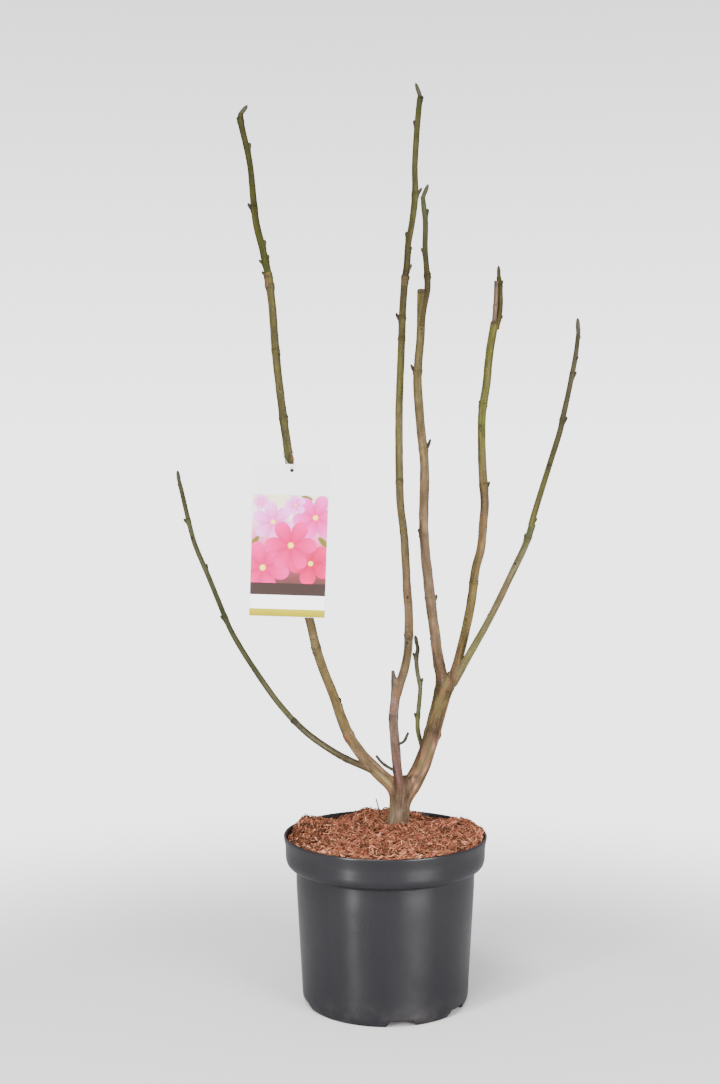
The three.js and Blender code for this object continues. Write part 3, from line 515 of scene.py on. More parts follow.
def add_shreds(name, count, length, width, thickness, stations, corners, lift, seed):
    """Torn strips in one mesh. A strip's middle line runs u = -1..1 along a level heading,
    bends sideways by c u^2 and upwards by b u^2, and follows the layer's height. Its section
    is a flat polygon of `corners` corners that turns along u and narrows to both torn ends.
    Strips near the wall lie along it, and all are moved clear of the trunk and inside the rim.
    A strip's kind is drawn by chance raised to a power, which makes it darker in clumps of soft
    noise and towards the pot's left side."""
    rng = np.random.default_rng(seed)

    def drawn(low, high, shape=(count, 1)):
        return rng.uniform(low, high, shape)

    u = np.linspace(-0.86, 0.86, stations)[None, :]
    radius = (BED_RADIUS + STREWN_OVER) * np.sqrt(drawn(0, 1))
    azimuth = drawn(0, 2 * np.pi)
    by_wall = radius > BED_RADIUS - ALONG_WALL
    heading = np.where(by_wall, azimuth + np.pi / 2 + drawn(-0.7, 0.7), drawn(0, 2 * np.pi))
    half = length[0] / 2 + (length[1] - length[0]) / 2 * drawn(0, 1) ** 1.7
    sideways = half * drawn(-0.22, 0.22)
    ahead = np.concatenate([half * u, -half, half], axis=1)
    shares = np.concatenate([u ** 2, np.ones((1, 2))], axis=1)
    x = (radius * np.cos(azimuth) + ahead * np.cos(heading)
         - sideways * shares * np.sin(heading))
    y = (radius * np.sin(azimuth) + ahead * np.sin(heading)
         + sideways * shares * np.cos(heading))
    reach = np.hypot(x, y).max(axis=1, keepdims=True)
    inward = np.maximum(0, reach - BED_RADIUS - STREWN_OVER) / np.maximum(radius, 1)
    x, y = (x - inward * radius * np.cos(azimuth), y - inward * radius * np.sin(azimuth))
    from_trunk = np.hypot(x - TRUNK_FOOT[0] - TRUNK_LEAN, y - TRUNK_FOOT[1])
    nearest = from_trunk.argmin(axis=1)[:, None]
    gap = np.take_along_axis(from_trunk, nearest, 1)
    outward = np.maximum(0, TRUNK_ROOM - gap) / np.maximum(gap, 0.5)
    away_x = np.take_along_axis(x, nearest, 1) - TRUNK_FOOT[0] - TRUNK_LEAN
    away_y = np.take_along_axis(y, nearest, 1) - TRUNK_FOOT[1]
    x, y = x + outward * away_x, y + outward * away_y
    depth = drawn(lift[0], lift[1])
    on_top = depth > lift[1] - 0.25 * (lift[1] - lift[0])
    pitch = np.where(on_top, drawn(-0.62, 0.62), drawn(-0.25, 0.25))
    z = (bark_height(x, y) + depth + ahead * pitch
         + half * drawn(-0.10, 0.16) * shares)
    z = np.maximum(z, BED_FOOT + 2)
    line = np.stack([x, y, z], axis=-1)
    middle = line[:, :stations]
    along = np.gradient(middle, axis=1)
    along /= np.linalg.norm(along, axis=-1, keepdims=True)
    across = np.stack([-along[..., 1], along[..., 0], 0 * along[..., 0]], axis=-1)
    across /= np.linalg.norm(across, axis=-1, keepdims=True)
    over = np.cross(along, across)
    roll = drawn(-0.6, 0.6) + drawn(-0.5, 0.5) * u
    side = across * np.cos(roll)[..., None] + over * np.sin(roll)[..., None]
    flat = over * np.cos(roll)[..., None] - across * np.sin(roll)[..., None]
    broad = (width[0] + (width[1] - width[0]) * drawn(0, 1) ** 1.5) / 2
    broad = broad * (1 - np.abs(u) ** 3 * 0.62) * drawn(0.72, 1.2, (count, stations))
    thick = drawn(*thickness) / 2 * (1 - np.abs(u) ** 4 * 0.5)
    turn = np.arange(corners) * 2 * np.pi / corners + np.pi / corners
    section = [(math.cos(a) * 1.25, math.sin(a) * 1.25) for a in turn]
    rows = [middle + side * (broad * right)[..., None] + flat * (thick * up)[..., None]
            for right, up in section]
    skin = np.stack(rows, axis=2).reshape(count, -1, 3)
    tips = line[:, stations:] + drawn(-0.5, 0.5, (count, 2, 3)) * broad[:, :1, None]
    points = np.concatenate([skin, tips], axis=1)
    reach = np.hypot(points[..., 0], points[..., 1])
    room = BED_RADIUS + WALL_ROOM + LIP_ROOM * np.clip((points[..., 2] - RIM_HEIGHT) / 0.7, 0, 1)
    points[..., :2] *= np.minimum(1, room / np.maximum(reach, 1))[..., None]
    shares = np.cumsum([share for _, share in SHRED_TONES.values()])
    at_x, at_y = middle[:, 2, 0], middle[:, 2, 1]
    # Shreds are drawn darker in clumps of soft noise and towards the pot's left side.
    darkening = np.exp(0.45 * level_noise(at_x, at_y, 13, 31)
                  + 0.42 * np.clip((-50 - at_x) / 30, 0, 1))
    kinds = np.searchsorted(shares / shares[-1], rng.uniform(0, 1, count) ** darkening)
    piece = put_many(name, points, grid_quads(stations, corners),
                     both_ends(stations, corners, flip=True), kinds, shred_materials, smooth=False)
    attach(piece, "root")
    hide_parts("bark_mulch")


shred_materials = []
for tone_name, (colour, _) in SHRED_TONES.items():
    material, tree, shader = plain_material(tone_name, colour, 0.82)
    bump(tree, relief(tree, 1500, 3), shader, 0.6, 0.0004)
    shader.inputs["Specular IOR Level"].default_value = 0.15
    shred_materials.append(material)

# The bed of crumbs follows the layer's height underneath the shreds, down to the peat under the
# trunk. Its dark tone is partly the crumbs' own and partly painted shade, that of the deep gaps
# between the shreds.
RINGS_OF_BED, SPOKES = 60, 220
way_out = np.linspace(0, 1, RINGS_OF_BED)[1:, None] ** 0.8
angle = np.linspace(0, 2 * np.pi, SPOKES, endpoint=False)[None, :]
x, y = BED_RADIUS * way_out * np.cos(angle), BED_RADIUS * way_out * np.sin(angle)
rough = level_noise(x, y, 5, 3) + 0.6 * level_noise(x, y, 2.1, 4)
z = np.maximum(bark_height(x, y) - BED_DEPTH + 1.1 * rough, BED_FOOT + 1)
under_trunk = np.clip((13 - np.hypot(x - TRUNK_FOOT[0], y - TRUNK_FOOT[1])) / 2.5, 0, 1)
z = z + (BED_FOOT + 1 - z) * under_trunk
top = np.stack([x, y, z], axis=-1)
foot = top[-1:].copy()
foot[..., 2] = BED_FOOT
rings = np.concatenate([top, foot]).reshape(-1, 3)
points = np.concatenate([rings, [(0, 0, LAYER_MIDDLE - BED_DEPTH), (0, 0, BED_FOOT)]])
bed = put_mesh("bark_bed", points, grid_quads(RINGS_OF_BED, SPOKES)[:, ::-1],
               both_ends(RINGS_OF_BED, SPOKES))
# Dark crumbs, darkened further as painted shade of the gaps between the shreds.
shaded_crumbs, tree, shader = plain_material("bark_crumbs", (0.08, 0.035, 0.022), 0.92)
crumbs = relief(tree, 330, 6, 0.75)
crumb_and_shade_tone = ramp(tree, crumbs, [(0.38, (0.012, 0.006, 0.004)), (0.56, (0.05, 0.017, 0.010)),
                                 (0.72, (0.20, 0.07, 0.035))])
tree.links.new(crumb_and_shade_tone, shader.inputs["Base Color"])
bump(tree, crumbs, shader, 0.9, 0.0015)
bed.data.materials.append(shaded_crumbs)
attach(bed, "root")
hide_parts("bark_mulch")

add_shreds("coarse_shreds", count=4200, length=(6, 18), width=(1.3, 3.3), thickness=(0.5, 1.2),
           stations=5, corners=4, lift=(-3.6, 1.3), seed=11)
add_shreds("fine_shreds", count=7600, length=(4, 13), width=(0.8, 2.4), thickness=(0.35, 0.9),
           stations=4, corners=3, lift=(-3.4, 1.8), seed=12)
add_shreds("bark_fibres", count=3000, length=(6, 20), width=(0.35, 0.9), thickness=(0.25, 0.5),
           stations=5, corners=3, lift=(-2.0, 2.2), seed=13)

# ------------------------------------------------------------------------------ woody framework
# The trunk, its boughs and the foot of every leader are one piece of living wood, so limbs run into
# each other in collars. The bark is thin, tan to olive, furrowed along the grain, ringed where a
# season ended, and scarred where leaves and twigs were shed. Shade in the crotches and a few
# highlights and shades down the limbs' sides are painted into the bark's colour.

RIGHT, BACK, LEFT, FRONT = 0, 90, 180, 270
BUD_SPREAD, WIDE, SPUR = 27, 37, 50   # degrees that a bud points away from its shoot
# A route is (x, y, height, diameter) at a limb's natural bends. Rings are (height, swelling), buds
# (height, side, length, spread) and spots (height, side, half height, half width, tone, rise): most
# are scar marks and patches of the bark, a few painted highlights and painted shade. Tones are
# (height, screen tone) and fade from one to the next. A shoot's tip is the place where the bud that
# closes it ends.
LIMBS = {
    "trunk": {
        "route": [(14.5, 34, 181, 34), (15.5, 34, 198, 28.5), (16, 34, 208, 25.5),
                  (18, 34, 224, 24.8), (20, 34, 249, 29)],
        "scars": [(214, 305, 7, 4, (112, 88, 62), -0.5), (226, 250, 6, 3.5, (124, 100, 76), -0.3),
                  (203, 240, 5, 6, (120, 96, 66), 0.6), (219, 200, 4, 4, (118, 104, 66), 0.5)],
        "tones": [(186, (117, 108, 81)), (206, (128, 109, 82)), (222, (128, 108, 82)),
                  (240, (121, 95, 69))]},
    "right_bough": {
        "route": [(19, 36, 230, 22), (32, 39, 250, 23), (44, 44, 270, 21), (54.2, 48, 298, 19.5),
                  (62.1, 52, 326, 19.6), (74.7, 59, 372, 22)],
        "rings": [(313, 0.5), (362, 0.5)], "buds": [(309, 20, 5, SPUR)],
        # The dark spot at 253 mm, sunk into the wood, is painted shade in the crotch with the
        # centre stem.
        "scars": [(253, 230, 8, 2.2, (62, 48, 38), -1.2), (259, 258, 3, 3, (96, 74, 52), -0.4),
                  (338, 268, 7, 3.4, (124, 106, 56), 0), (297, 262, 8, 4, (122, 100, 64), 0),
                  (316, 262, 2.6, 1.6, (84, 66, 46), -0.5), (339, 330, 2.2, 1.8, (78, 60, 44), 0.4),
                  (311, 10, 4, 4, (128, 100, 76), 1.3), (272, 250, 9, 3.4, (132, 120, 66), 0),
                  (288, 300, 8, 3, (136, 122, 70), 0), (350, 240, 8, 3, (134, 122, 72), 0),
                  (258, 290, 7, 3, (120, 96, 70), 0.4), (326, 230, 6, 2.4, (128, 112, 66), 0),
                  (372, 285, 2.4, 1.7, (148, 108, 80), 0.2),
                  # The long pale stripes at 300, 345 and 318 mm are painted light down the bough's
                  # front right and its left side.
                  (376, 240, 3, 2.5, (110, 100, 88), 0.5), (300, 330, 26, 2.6, (158, 122, 96), 0),
                  (345, 335, 18, 2.4, (160, 124, 92), 0), (318, 205, 30, 2.2, (146, 124, 84), 0),
                  (362, 262, 6, 3, (150, 112, 70), 0)],
        "tones": [(235, (174, 142, 104)), (260, (157, 127, 93)), (286, (148, 119, 83)),
                  (312, (117, 89, 57)), (349, (115, 95, 49)), (374, (108, 89, 47))]},
    "left_leader": {
        "route": [(18, 34, 236, 15.9), (7, 33, 252, 16.6), (-16, 28, 275.5, 15.6),
                  (-28, 24, 290, 13.4), (-44.7, 18, 316, 12.6), (-53.3, 11, 339, 11.8),
                  (-62, 4, 365, 11.4), (-78.4, -9, 411, 10.6), (-88.5, -21.7, 454, 10.2),
                  (-93, -28, 476, 10), (-104, -56, 585, 9.8), (-112, -66, 652, 9.6),
                  (-119.1, -77, 709, 8.9), (-125.2, -84.6, 766, 8.6), (-128.7, -91, 818, 8.4),
                  (-133, -96, 855, 9)],
        "rings": [(315, 0.8), (425, 0.5), (694, 0.6), (770, 0.4), (841, 1.0), (850, 0.5)],
        "buds": [(421, LEFT, 6), (353, RIGHT, 7), (691, RIGHT, 5), (766, RIGHT, 4),
                 (838, RIGHT, 4, WIDE), (852, LEFT, 5.5, SPUR)],
        "scars": [(316, 246, 6, 4.2, (156, 110, 72), 0.5), (311, 200, 2.0, 1.5, (64, 50, 36), 0.5),
                  (262, 300, 5, 3, (128, 108, 70), 0.2), (845, 228, 5, 3, (134, 92, 48), 0.5),
                  (851, 240, 1.3, 4.5, (76, 58, 34), -0.3), (839, 250, 1.2, 4, (88, 70, 40), -0.2),
                  # The long dark stripe at 775 mm is painted shade down the leader's front right
                  # side.
                  (775, 335, 72, 2.6, (84, 76, 40), 0), (420, 230, 5, 3, (112, 82, 56), 0.3),
                  (520, 290, 9, 1.6, (122, 104, 62), 0), (610, 250, 7, 1.5, (128, 112, 70), 0)],
        "tones": [(240, (178, 150, 108)), (264, (160, 141, 101)), (283, (143, 120, 83)),
                  (316, (149, 125, 86)), (365, (130, 108, 59)), (427, (131, 115, 68)),
                  (520, (120, 104, 60)), (640, (98, 93, 41)), (672, (97, 90, 39)),
                  (695, (82, 76, 30)), (720, (95, 86, 36)), (760, (96, 86, 35)),
                  (855, (102, 91, 37))]},
    "centre_stem": {
        "route": [(18, 36, 224, 11), (17.5, 24, 252, 12), (14.5, 12.5, 278, 11),
                  (9.7, 1, 340, 10.8), (12, -2, 368, 11), (10, -4, 385, 6.4),
                  (8.6, -5, 397, 3.2)],
        "rings": [(341, 0.4)], "buds": [(338, LEFT, 4)],
        "scars": [(384, 330, 4, 3, (170, 128, 94), 0.3), (272, 195, 2.4, 2, (60, 54, 40), 0.4),
                  (306, 330, 2, 1.6, (70, 60, 48), 0.3), (394, 230, 3.5, 3, (112, 86, 70), 0),
                  # The dark spots at 250 and 244 mm are painted shade in the crotches with the
                  # right bough and the left leader.
                  (256, 270, 8, 2.4, (142, 104, 86), 0.3), (250, 340, 10, 2, (64, 50, 38), -1.2),
                  (371, 300, 7, 5, (154, 112, 70), 0.3), (352, 240, 5, 3.4, (140, 104, 78), 0),
                  (312, 280, 7, 3, (134, 106, 92), 0), (244, 190, 9, 1.4, (96, 76, 56), -0.5)],
        "tones": [(240, (123, 91, 66)), (250, (121, 86, 66)), (266, (124, 90, 72)),
                  (330, (127, 101, 87)), (354, (120, 95, 79)), (376, (110, 88, 69)),
                  (388, (87, 83, 74)), (397, (74, 71, 67))]},
    "left_low_bough": {
        "route": [(-19, 24, 273, 8), (-53, 36, 286, 7.8), (-92.8, 49, 310, 7.4),
                  (-113.8, 56, 328, 7.2)],
        "rings": [(283, 0.3), (327, 0.5)], "buds": [(280, 110, 7)],
        # The long pale stripe is a painted highlight down the front of the bough.
        "scars": [(300, 275, 30, 1.3, (130, 124, 86), 0)],
        "tones": [(270, (108, 89, 60)), (300, (79, 69, 45)), (328, (67, 66, 42))]},
    "centre_leader": {
        "route": [(14, -2, 370, 9.9), (25, -6, 410, 9.9), (27.6, -7.8, 444, 9.8),
                  (27, -8, 473, 9.7), (25.5, -7.4, 492, 9.6), (21.8, -3.3, 558, 9.3),
                  (18.2, -1.1, 588, 9.2), (17.1, 0, 604, 9.1), (16, 7, 700, 8.8),
                  (18.3, 11.3, 768, 8.4), (19.4, 13.1, 798, 8.3), (20.4, 15, 827, 8.1),
                  (23.3, 18, 867, 8.7)],
        "rings": [(440, 0.4), (622, 0.4), (792, 0.5), (817, 0.4), (866, 0.4)],
        "buds": [(813, LEFT, 10, WIDE), (621, FRONT, 4), (860, RIGHT, 6)],
        "scars": [(441, 270, 5, 8, (102, 76, 46), 0.4), (436, 275, 1.3, 6, (66, 50, 34), -0.2),
                  (866, 350, 2.6, 2, (70, 54, 40), 0.3), (862, 270, 5, 5, (104, 84, 40), 0.4),
                  (540, 250, 10, 1.5, (124, 106, 66), 0), (690, 290, 8, 1.4, (122, 108, 68), 0)],
        "tones": [(372, (117, 95, 65)), (470, (125, 97, 59)), (508, (110, 85, 51)),
                  (596, (99, 87, 42)), (620, (109, 93, 54)), (740, (119, 111, 47)),
                  (783, (91, 85, 33)), (867, (78, 66, 29))]},
    "inner_leader": {
        "route": [(73.2, 58, 367, 15.6), (64.7, 55.5, 411, 13.1), (61.6, 53, 434, 12.5),
                  (58, 48.9, 459, 12.4), (54.3, 43, 488, 12.3), (46.6, 25, 561, 11.5),
                  (46.4, 5, 632, 10.8), (45.5, 0.3, 651, 10.6), (41.8, -6.5, 681, 10.4),
                  (37, -20, 736, 9.9), (36.9, -27, 753, 9.7), (39.5, -35, 786, 9.3),
                  (40, -39.6, 807, 9.3), (40, -47, 842, 9.3)],
        "rings": [(396, 0.4), (480, 0.4), (558, 0.4), (661, 0.4), (751, 0.6)],
        "buds": [(749, LEFT, 10, WIDE), (659, RIGHT, 13, WIDE), (557, LEFT, 7),
                 (473, RIGHT, 9, WIDE), (424, LEFT, 5)],
        # The dark line at 830 mm is painted shade between the cut leader and the shoot beside it.
        "scars": [(841, 262, 2.6, 7, (54, 42, 32), 0), (830, 320, 9, 1.4, (70, 54, 36), -0.3),
                  (520, 280, 9, 2, (128, 104, 76), 0), (450, 240, 8, 2, (134, 116, 74), 0),
                  (700, 260, 9, 1.6, (126, 106, 74), 0)],
        "tones": [(370, (118, 82, 60)), (450, (134, 110, 76)), (506, (147, 122, 94)),
                  (543, (137, 114, 83)), (600, (125, 101, 66)), (740, (120, 103, 56)),
                  (842, (95, 86, 31))]},
    "right_leader": {
        "route": [(80, 60, 367, 12.1), (90, 68, 395, 11.2), (106.9, 90, 458, 11),
                  (116, 104, 513, 10.9), (122.7, 108.8, 537, 10.8), (125.8, 114, 567, 10.7),
                  (128, 118, 593, 10.6), (126, 122.4, 627, 10.3), (124.6, 127, 668, 10),
                  (124.8, 130.5, 699, 9.9), (125.8, 132, 713, 9.9), (129.3, 133.9, 735, 9.9),
                  (131.3, 135, 749, 9.9), (135, 138, 785, 9.9), (142, 144, 825, 10.2)],
        "rings": [(494, 0.4), (617, 0.4), (719, 0.5)],
        "buds": [(717, LEFT, 6), (612, RIGHT, 9, WIDE), (494, FRONT, 4)],
        "scars": [(823, 270, 3, 5, (70, 54, 40), 0), (760, 355, 22, 2.2, (118, 92, 62), 0),
                  (802, 340, 15, 2.4, (92, 68, 42), -0.3), (560, 280, 9, 1.6, (126, 108, 68), 0)],
        "tones": [(370, (132, 101, 64)), (472, (129, 115, 56)), (552, (143, 116, 71)),
                  (600, (120, 92, 57)), (700, (119, 121, 46)), (760, (118, 113, 43)),
                  (825, (123, 117, 45))]},
    "right_side_bough": {
        "route": [(86, 66, 372, 9.4), (103, 60, 405, 9), (124.1, 46.9, 446, 8.4),
                  (137.3, 36, 475, 8), (154, 18, 515, 8), (167, 0, 548, 7.8),
                  (172.8, -14, 571, 8)],
        "rings": [(556, 0.5)], "buds": [(553, LEFT, 7)],
        "tones": [(372, (132, 118, 83)), (405, (131, 122, 71)), (440, (125, 121, 69)),
                  (490, (126, 111, 69)), (530, (118, 112, 72)), (571, (101, 106, 62))]},
    "green_twig": {
        "route": [(49, 50, 278, 5), (45, 58, 298, 5.2), (41, 61, 317, 5.3), (44.4, 72, 368, 5.1),
                  (41.5, 75.8, 382, 5), (40, 82, 402, 4.9), (42, 86, 412, 4.6),
                  (40.5, 88, 420, 3.8)],
        "rings": [(331, 0.4), (372, 0.5), (403, 0.5)], "tip": (38.6, 89, 429),
        "buds": [(329, LEFT, 6, WIDE), (371, RIGHT, 6, WIDE), (402, LEFT, 6, WIDE)],
        "tones": [(280, (123, 111, 69)), (300, (100, 105, 49)), (420, (89, 83, 61))]},
    "left_tip_shoot": {
        "route": [(-132.8, -95.8, 853, 8.1), (-138.3, -99.2, 879, 7.8), (-145.9, -103, 911, 7.5),
                  (-152.1, -108, 974, 6.5), (-161.4, -112, 1018, 6.5), (-161.5, -112, 1026, 5.3)],
        "rings": [(925, 0.4), (1019, 0.4)], "tip": (-153.5, -113, 1035),
        "buds": [(1018, LEFT, 4), (987, RIGHT, 7), (923, LEFT, 8, WIDE), (882, RIGHT, 7),
                 (868, RIGHT, 5, WIDE), (865, LEFT, 6, SPUR)],
        "tones": [(853, (67, 69, 14)), (940, (68, 68, 11)), (1026, (70, 68, 29))]},
    "left_low_shoot": {
        "route": [(-113, 55.6, 327, 6.8), (-137.6, 64, 355, 6.8), (-190.1, 90, 430, 6.4),
                  (-208.1, 102, 468, 6.2), (-223.3, 111.1, 503, 6), (-237.1, 118, 533, 5.9),
                  (-242.6, 121, 547, 5.8), (-259.6, 132, 613, 5.4), (-262.4, 133, 624, 4.4)],
        "rings": [(450, 0.4), (572, 0.4)], "tip": (-264.2, 133, 636),
        "buds": [(331, 250, 5), (448, LEFT, 7), (510, RIGHT, 6), (569, LEFT, 7, WIDE)],
        "tones": [(327, (100, 97, 59)), (450, (67, 71, 38)), (564, (91, 93, 56)),
                  (596, (85, 86, 46)), (624, (81, 81, 43))]},
    "centre_tip_shoot": {
        "route": [(23.2, 17.9, 865, 8.1), (25.4, 18, 879, 7.9), (27.2, 18, 907, 7.4),
                  (31.0, 17.8, 927, 7.4), (35, 17, 963, 7.5), (34.7, 15, 998, 6.8),
                  (39, 9, 1063, 6.7), (40.5, 8, 1076, 5.5)],
        "rings": [(963, 0.5), (1073, 0.4)], "tip": (34.5, 6, 1091.5),
        "buds": [(1072, RIGHT, 4), (1041, LEFT, 7), (962, RIGHT, 10, WIDE), (911, LEFT, 7),
                 (896, RIGHT, 5), (874, RIGHT, 7)],
        "tones": [(865, (75, 63, 30)), (960, (91, 88, 39)), (1076, (73, 75, 29))]},
    "inner_tip_shoot": {
        "route": [(41, -43, 802, 5.6), (43.4, -46, 822, 5.9), (47, -47, 845, 6.8),
                  (44, -53, 889, 6.1), (44.1, -56.1, 918, 5.9), (42, -58, 936, 5.8),
                  (41, -59, 945, 4.8)],
        "rings": [(858, 0.6)], "tip": (47.5, -60.5, 960),
        "buds": [(857, RIGHT, 4), (925, RIGHT, 7), (883, LEFT, 6)],
        "tones": [(802, (92, 77, 37)), (824, (90, 73, 35)), (838, (71, 59, 26)),
                  (870, (68, 65, 20)), (945, (81, 86, 49))]},
    "right_tip_shoot": {
        "route": [(144.5, 145, 817, 6.4), (149, 148.5, 843, 7.2), (149, 150, 868, 7),
                  (147.8, 151, 884, 5.8)],
        "rings": [(872, 0.4)], "tip": (147.5, 152.5, 899),
        "buds": [(873, RIGHT, 6), (829, RIGHT, 6)],
        "tones": [(817, (101, 89, 39)), (884, (85, 84, 24))]},
    "right_side_shoot": {
        "route": [(171.2, -13.5, 570, 6.8), (176, -20, 590, 6.8), (191, -46.5, 650, 6.3),
                  (198.4, -60.5, 680, 6.1), (200.8, -68, 696, 6), (206, -85, 731, 5.6),
                  (210.6, -97, 765, 5.2), (211.6, -107, 788, 4.2)],
        "rings": [(693, 0.4), (743, 0.3)], "tip": (210, -112, 803.5),
        "buds": [(574, RIGHT, 6), (690, RIGHT, 7), (740, RIGHT, 6), (781, 300, 5)],
        "tones": [(570, (99, 96, 38)), (605, (105, 101, 54)), (635, (108, 102, 54)),
                  (665, (98, 89, 57)), (690, (88, 80, 51)), (788, (73, 72, 44))]},
}
ONE_WITH_TRUNK = ("trunk", "right_bough", "centre_stem")   # they have no piece of their own
TAKE_OVER = {                         # height at which each other limb's own piece takes over
    "left_leader": 345, "left_low_bough": 300, "centre_leader": 440, "inner_leader": 424,
    "right_leader": 430, "right_side_bough": 425, "green_twig": 303,
}
HANDING_OVER = 6.0                    # length over which one skin sinks under the other
SUNK_SKIN = 0.7                       # how deep it sinks
OVERLAP = 2                           # and how much further it runs on sunk
COLLAR = 1.2                          # how softly limbs run together where they meet
LIMB_REACH = 24                       # how far off its middle a limb still counts
BARK_PROUD = 0.22                     # how far the bark stands over a limb's measured radius
RING_REACH = 4.0                      # how far up and down a limb a ring's swelling reaches
CRESCENT_TONE = (74, 58, 40)          # the leaf scar under each bud
SPAN_POINTS = 40                      # points of a curve from one stop to the next
LINE_STEP = 0.8                       # and how far apart they are once evenly spaced
SCREEN_LEVELS = (0, 19, 32, 58, 87, 118, 145, 169, 183, 196, 209, 222)   # screen tones
LIGHT_LEVELS = (0, 0.01, 0.02, 0.05, 0.10, 0.18, 0.30, 0.50, 0.70, 1.0, 1.5, 2.5)
LIGHT_ON_PLANT = 2.1                  # the levels above are the light that gives each tone


def seen_as(tone):
    """The surface colour that looks like a screen tone of 0..255 in this light: the light it
    must send back, run straight between the levels above, over the light that falls on it."""
    return np.interp(tone, SCREEN_LEVELS, LIGHT_LEVELS) / LIGHT_ON_PLANT


def through(stops, closed=False, fine=SPAN_POINTS):
    """A centripetal Catmull-Rom curve through points, `fine` samples to a span. With knots
    spaced by the square root of distance, a span from p1 to p2 is the cubic with those ends
    whose end tangents are the differences of the neighbouring slopes. An open curve carries
    on past its ends by the reflected points 2 p0 - p1."""
    p = np.array(stops, float)
    if closed:
        p = np.concatenate([p[-1:], p, p[:2]])
    else:
        p = np.concatenate([[2 * p[0] - p[1]], p, [2 * p[-1] - p[-2]]])
    gap = np.maximum(np.sqrt(np.linalg.norm(np.diff(p, axis=0), axis=1)), 1e-4)[:, None]
    before, here, after = gap[:-2], gap[1:-1], gap[2:]
    x0, x1, x2, x3 = p[:-3], p[1:-2], p[2:-1], p[3:]
    t1 = ((x1 - x0) / before - (x2 - x0) / (before + here) + (x2 - x1) / here) * here
    t2 = ((x2 - x1) / here - (x3 - x1) / (here + after) + (x3 - x2) / after) * here
    t = (np.arange(fine) / fine)[None, :, None]
    x1, x2, t1, t2 = x1[:, None], x2[:, None], t1[:, None], t2[:, None]
    run = (x1 + t1 * t + (3 * (x2 - x1) - 2 * t1 - t2) * t ** 2
           + (2 * (x1 - x2) + t1 + t2) * t ** 3)
    return np.concatenate([run.reshape(-1, p.shape[1]), x2[-1]])


def lay_out(limb):
    """Adds a limb's dense middle line, the distances along it, its tangents and its radii.
    The radius runs straight from one route point to the next, and the bark stands over it."""
    route = np.array(limb["route"], float)
    line = through(route[:, :3])
    along = np.concatenate([[0], np.cumsum(np.linalg.norm(np.diff(line, axis=0), axis=1))])
    evenly = np.linspace(0, along[-1], int(along[-1] / LINE_STEP) + 2)
    line_here = np.stack([np.interp(evenly, along, line[:, i]) for i in range(3)], axis=-1)
    tangent = np.gradient(line_here, axis=0)
    tangent /= np.linalg.norm(tangent, axis=-1, keepdims=True)
    limb.update(s=evenly, line=line_here, tangent=tangent, length=evenly[-1],
                radius=np.interp(evenly, along[::SPAN_POINTS], route[:, 3] / 2) + BARK_PROUD)


def at_height(limb, height):
    """The distance along a limb at which its middle is at a height, straight between points."""
    return float(np.interp(height, limb["line"][:, 2], limb["s"]))


def frame_at(limb, s):
    """Middle, tangent and the two directions across it, at distances along a limb. The first
    is Y x tangent, and the second, the first x tangent, points to the viewer. Past its ends
    the limb carries on straight."""
    inside = np.clip(s, 0, limb["length"])
    middle, tangent = (np.stack([np.interp(inside, limb["s"], limb[key][:, i])
                                 for i in range(3)], axis=-1) for key in ("line", "tangent"))
    tangent /= np.linalg.norm(tangent, axis=-1, keepdims=True)
    middle = middle + tangent * (s - inside)[..., None]
    across = np.stack([tangent[..., 2], 0 * s, -tangent[..., 0]], axis=-1)
    across /= np.linalg.norm(across, axis=-1, keepdims=True)
    return middle, tangent, across, np.cross(across, tangent)


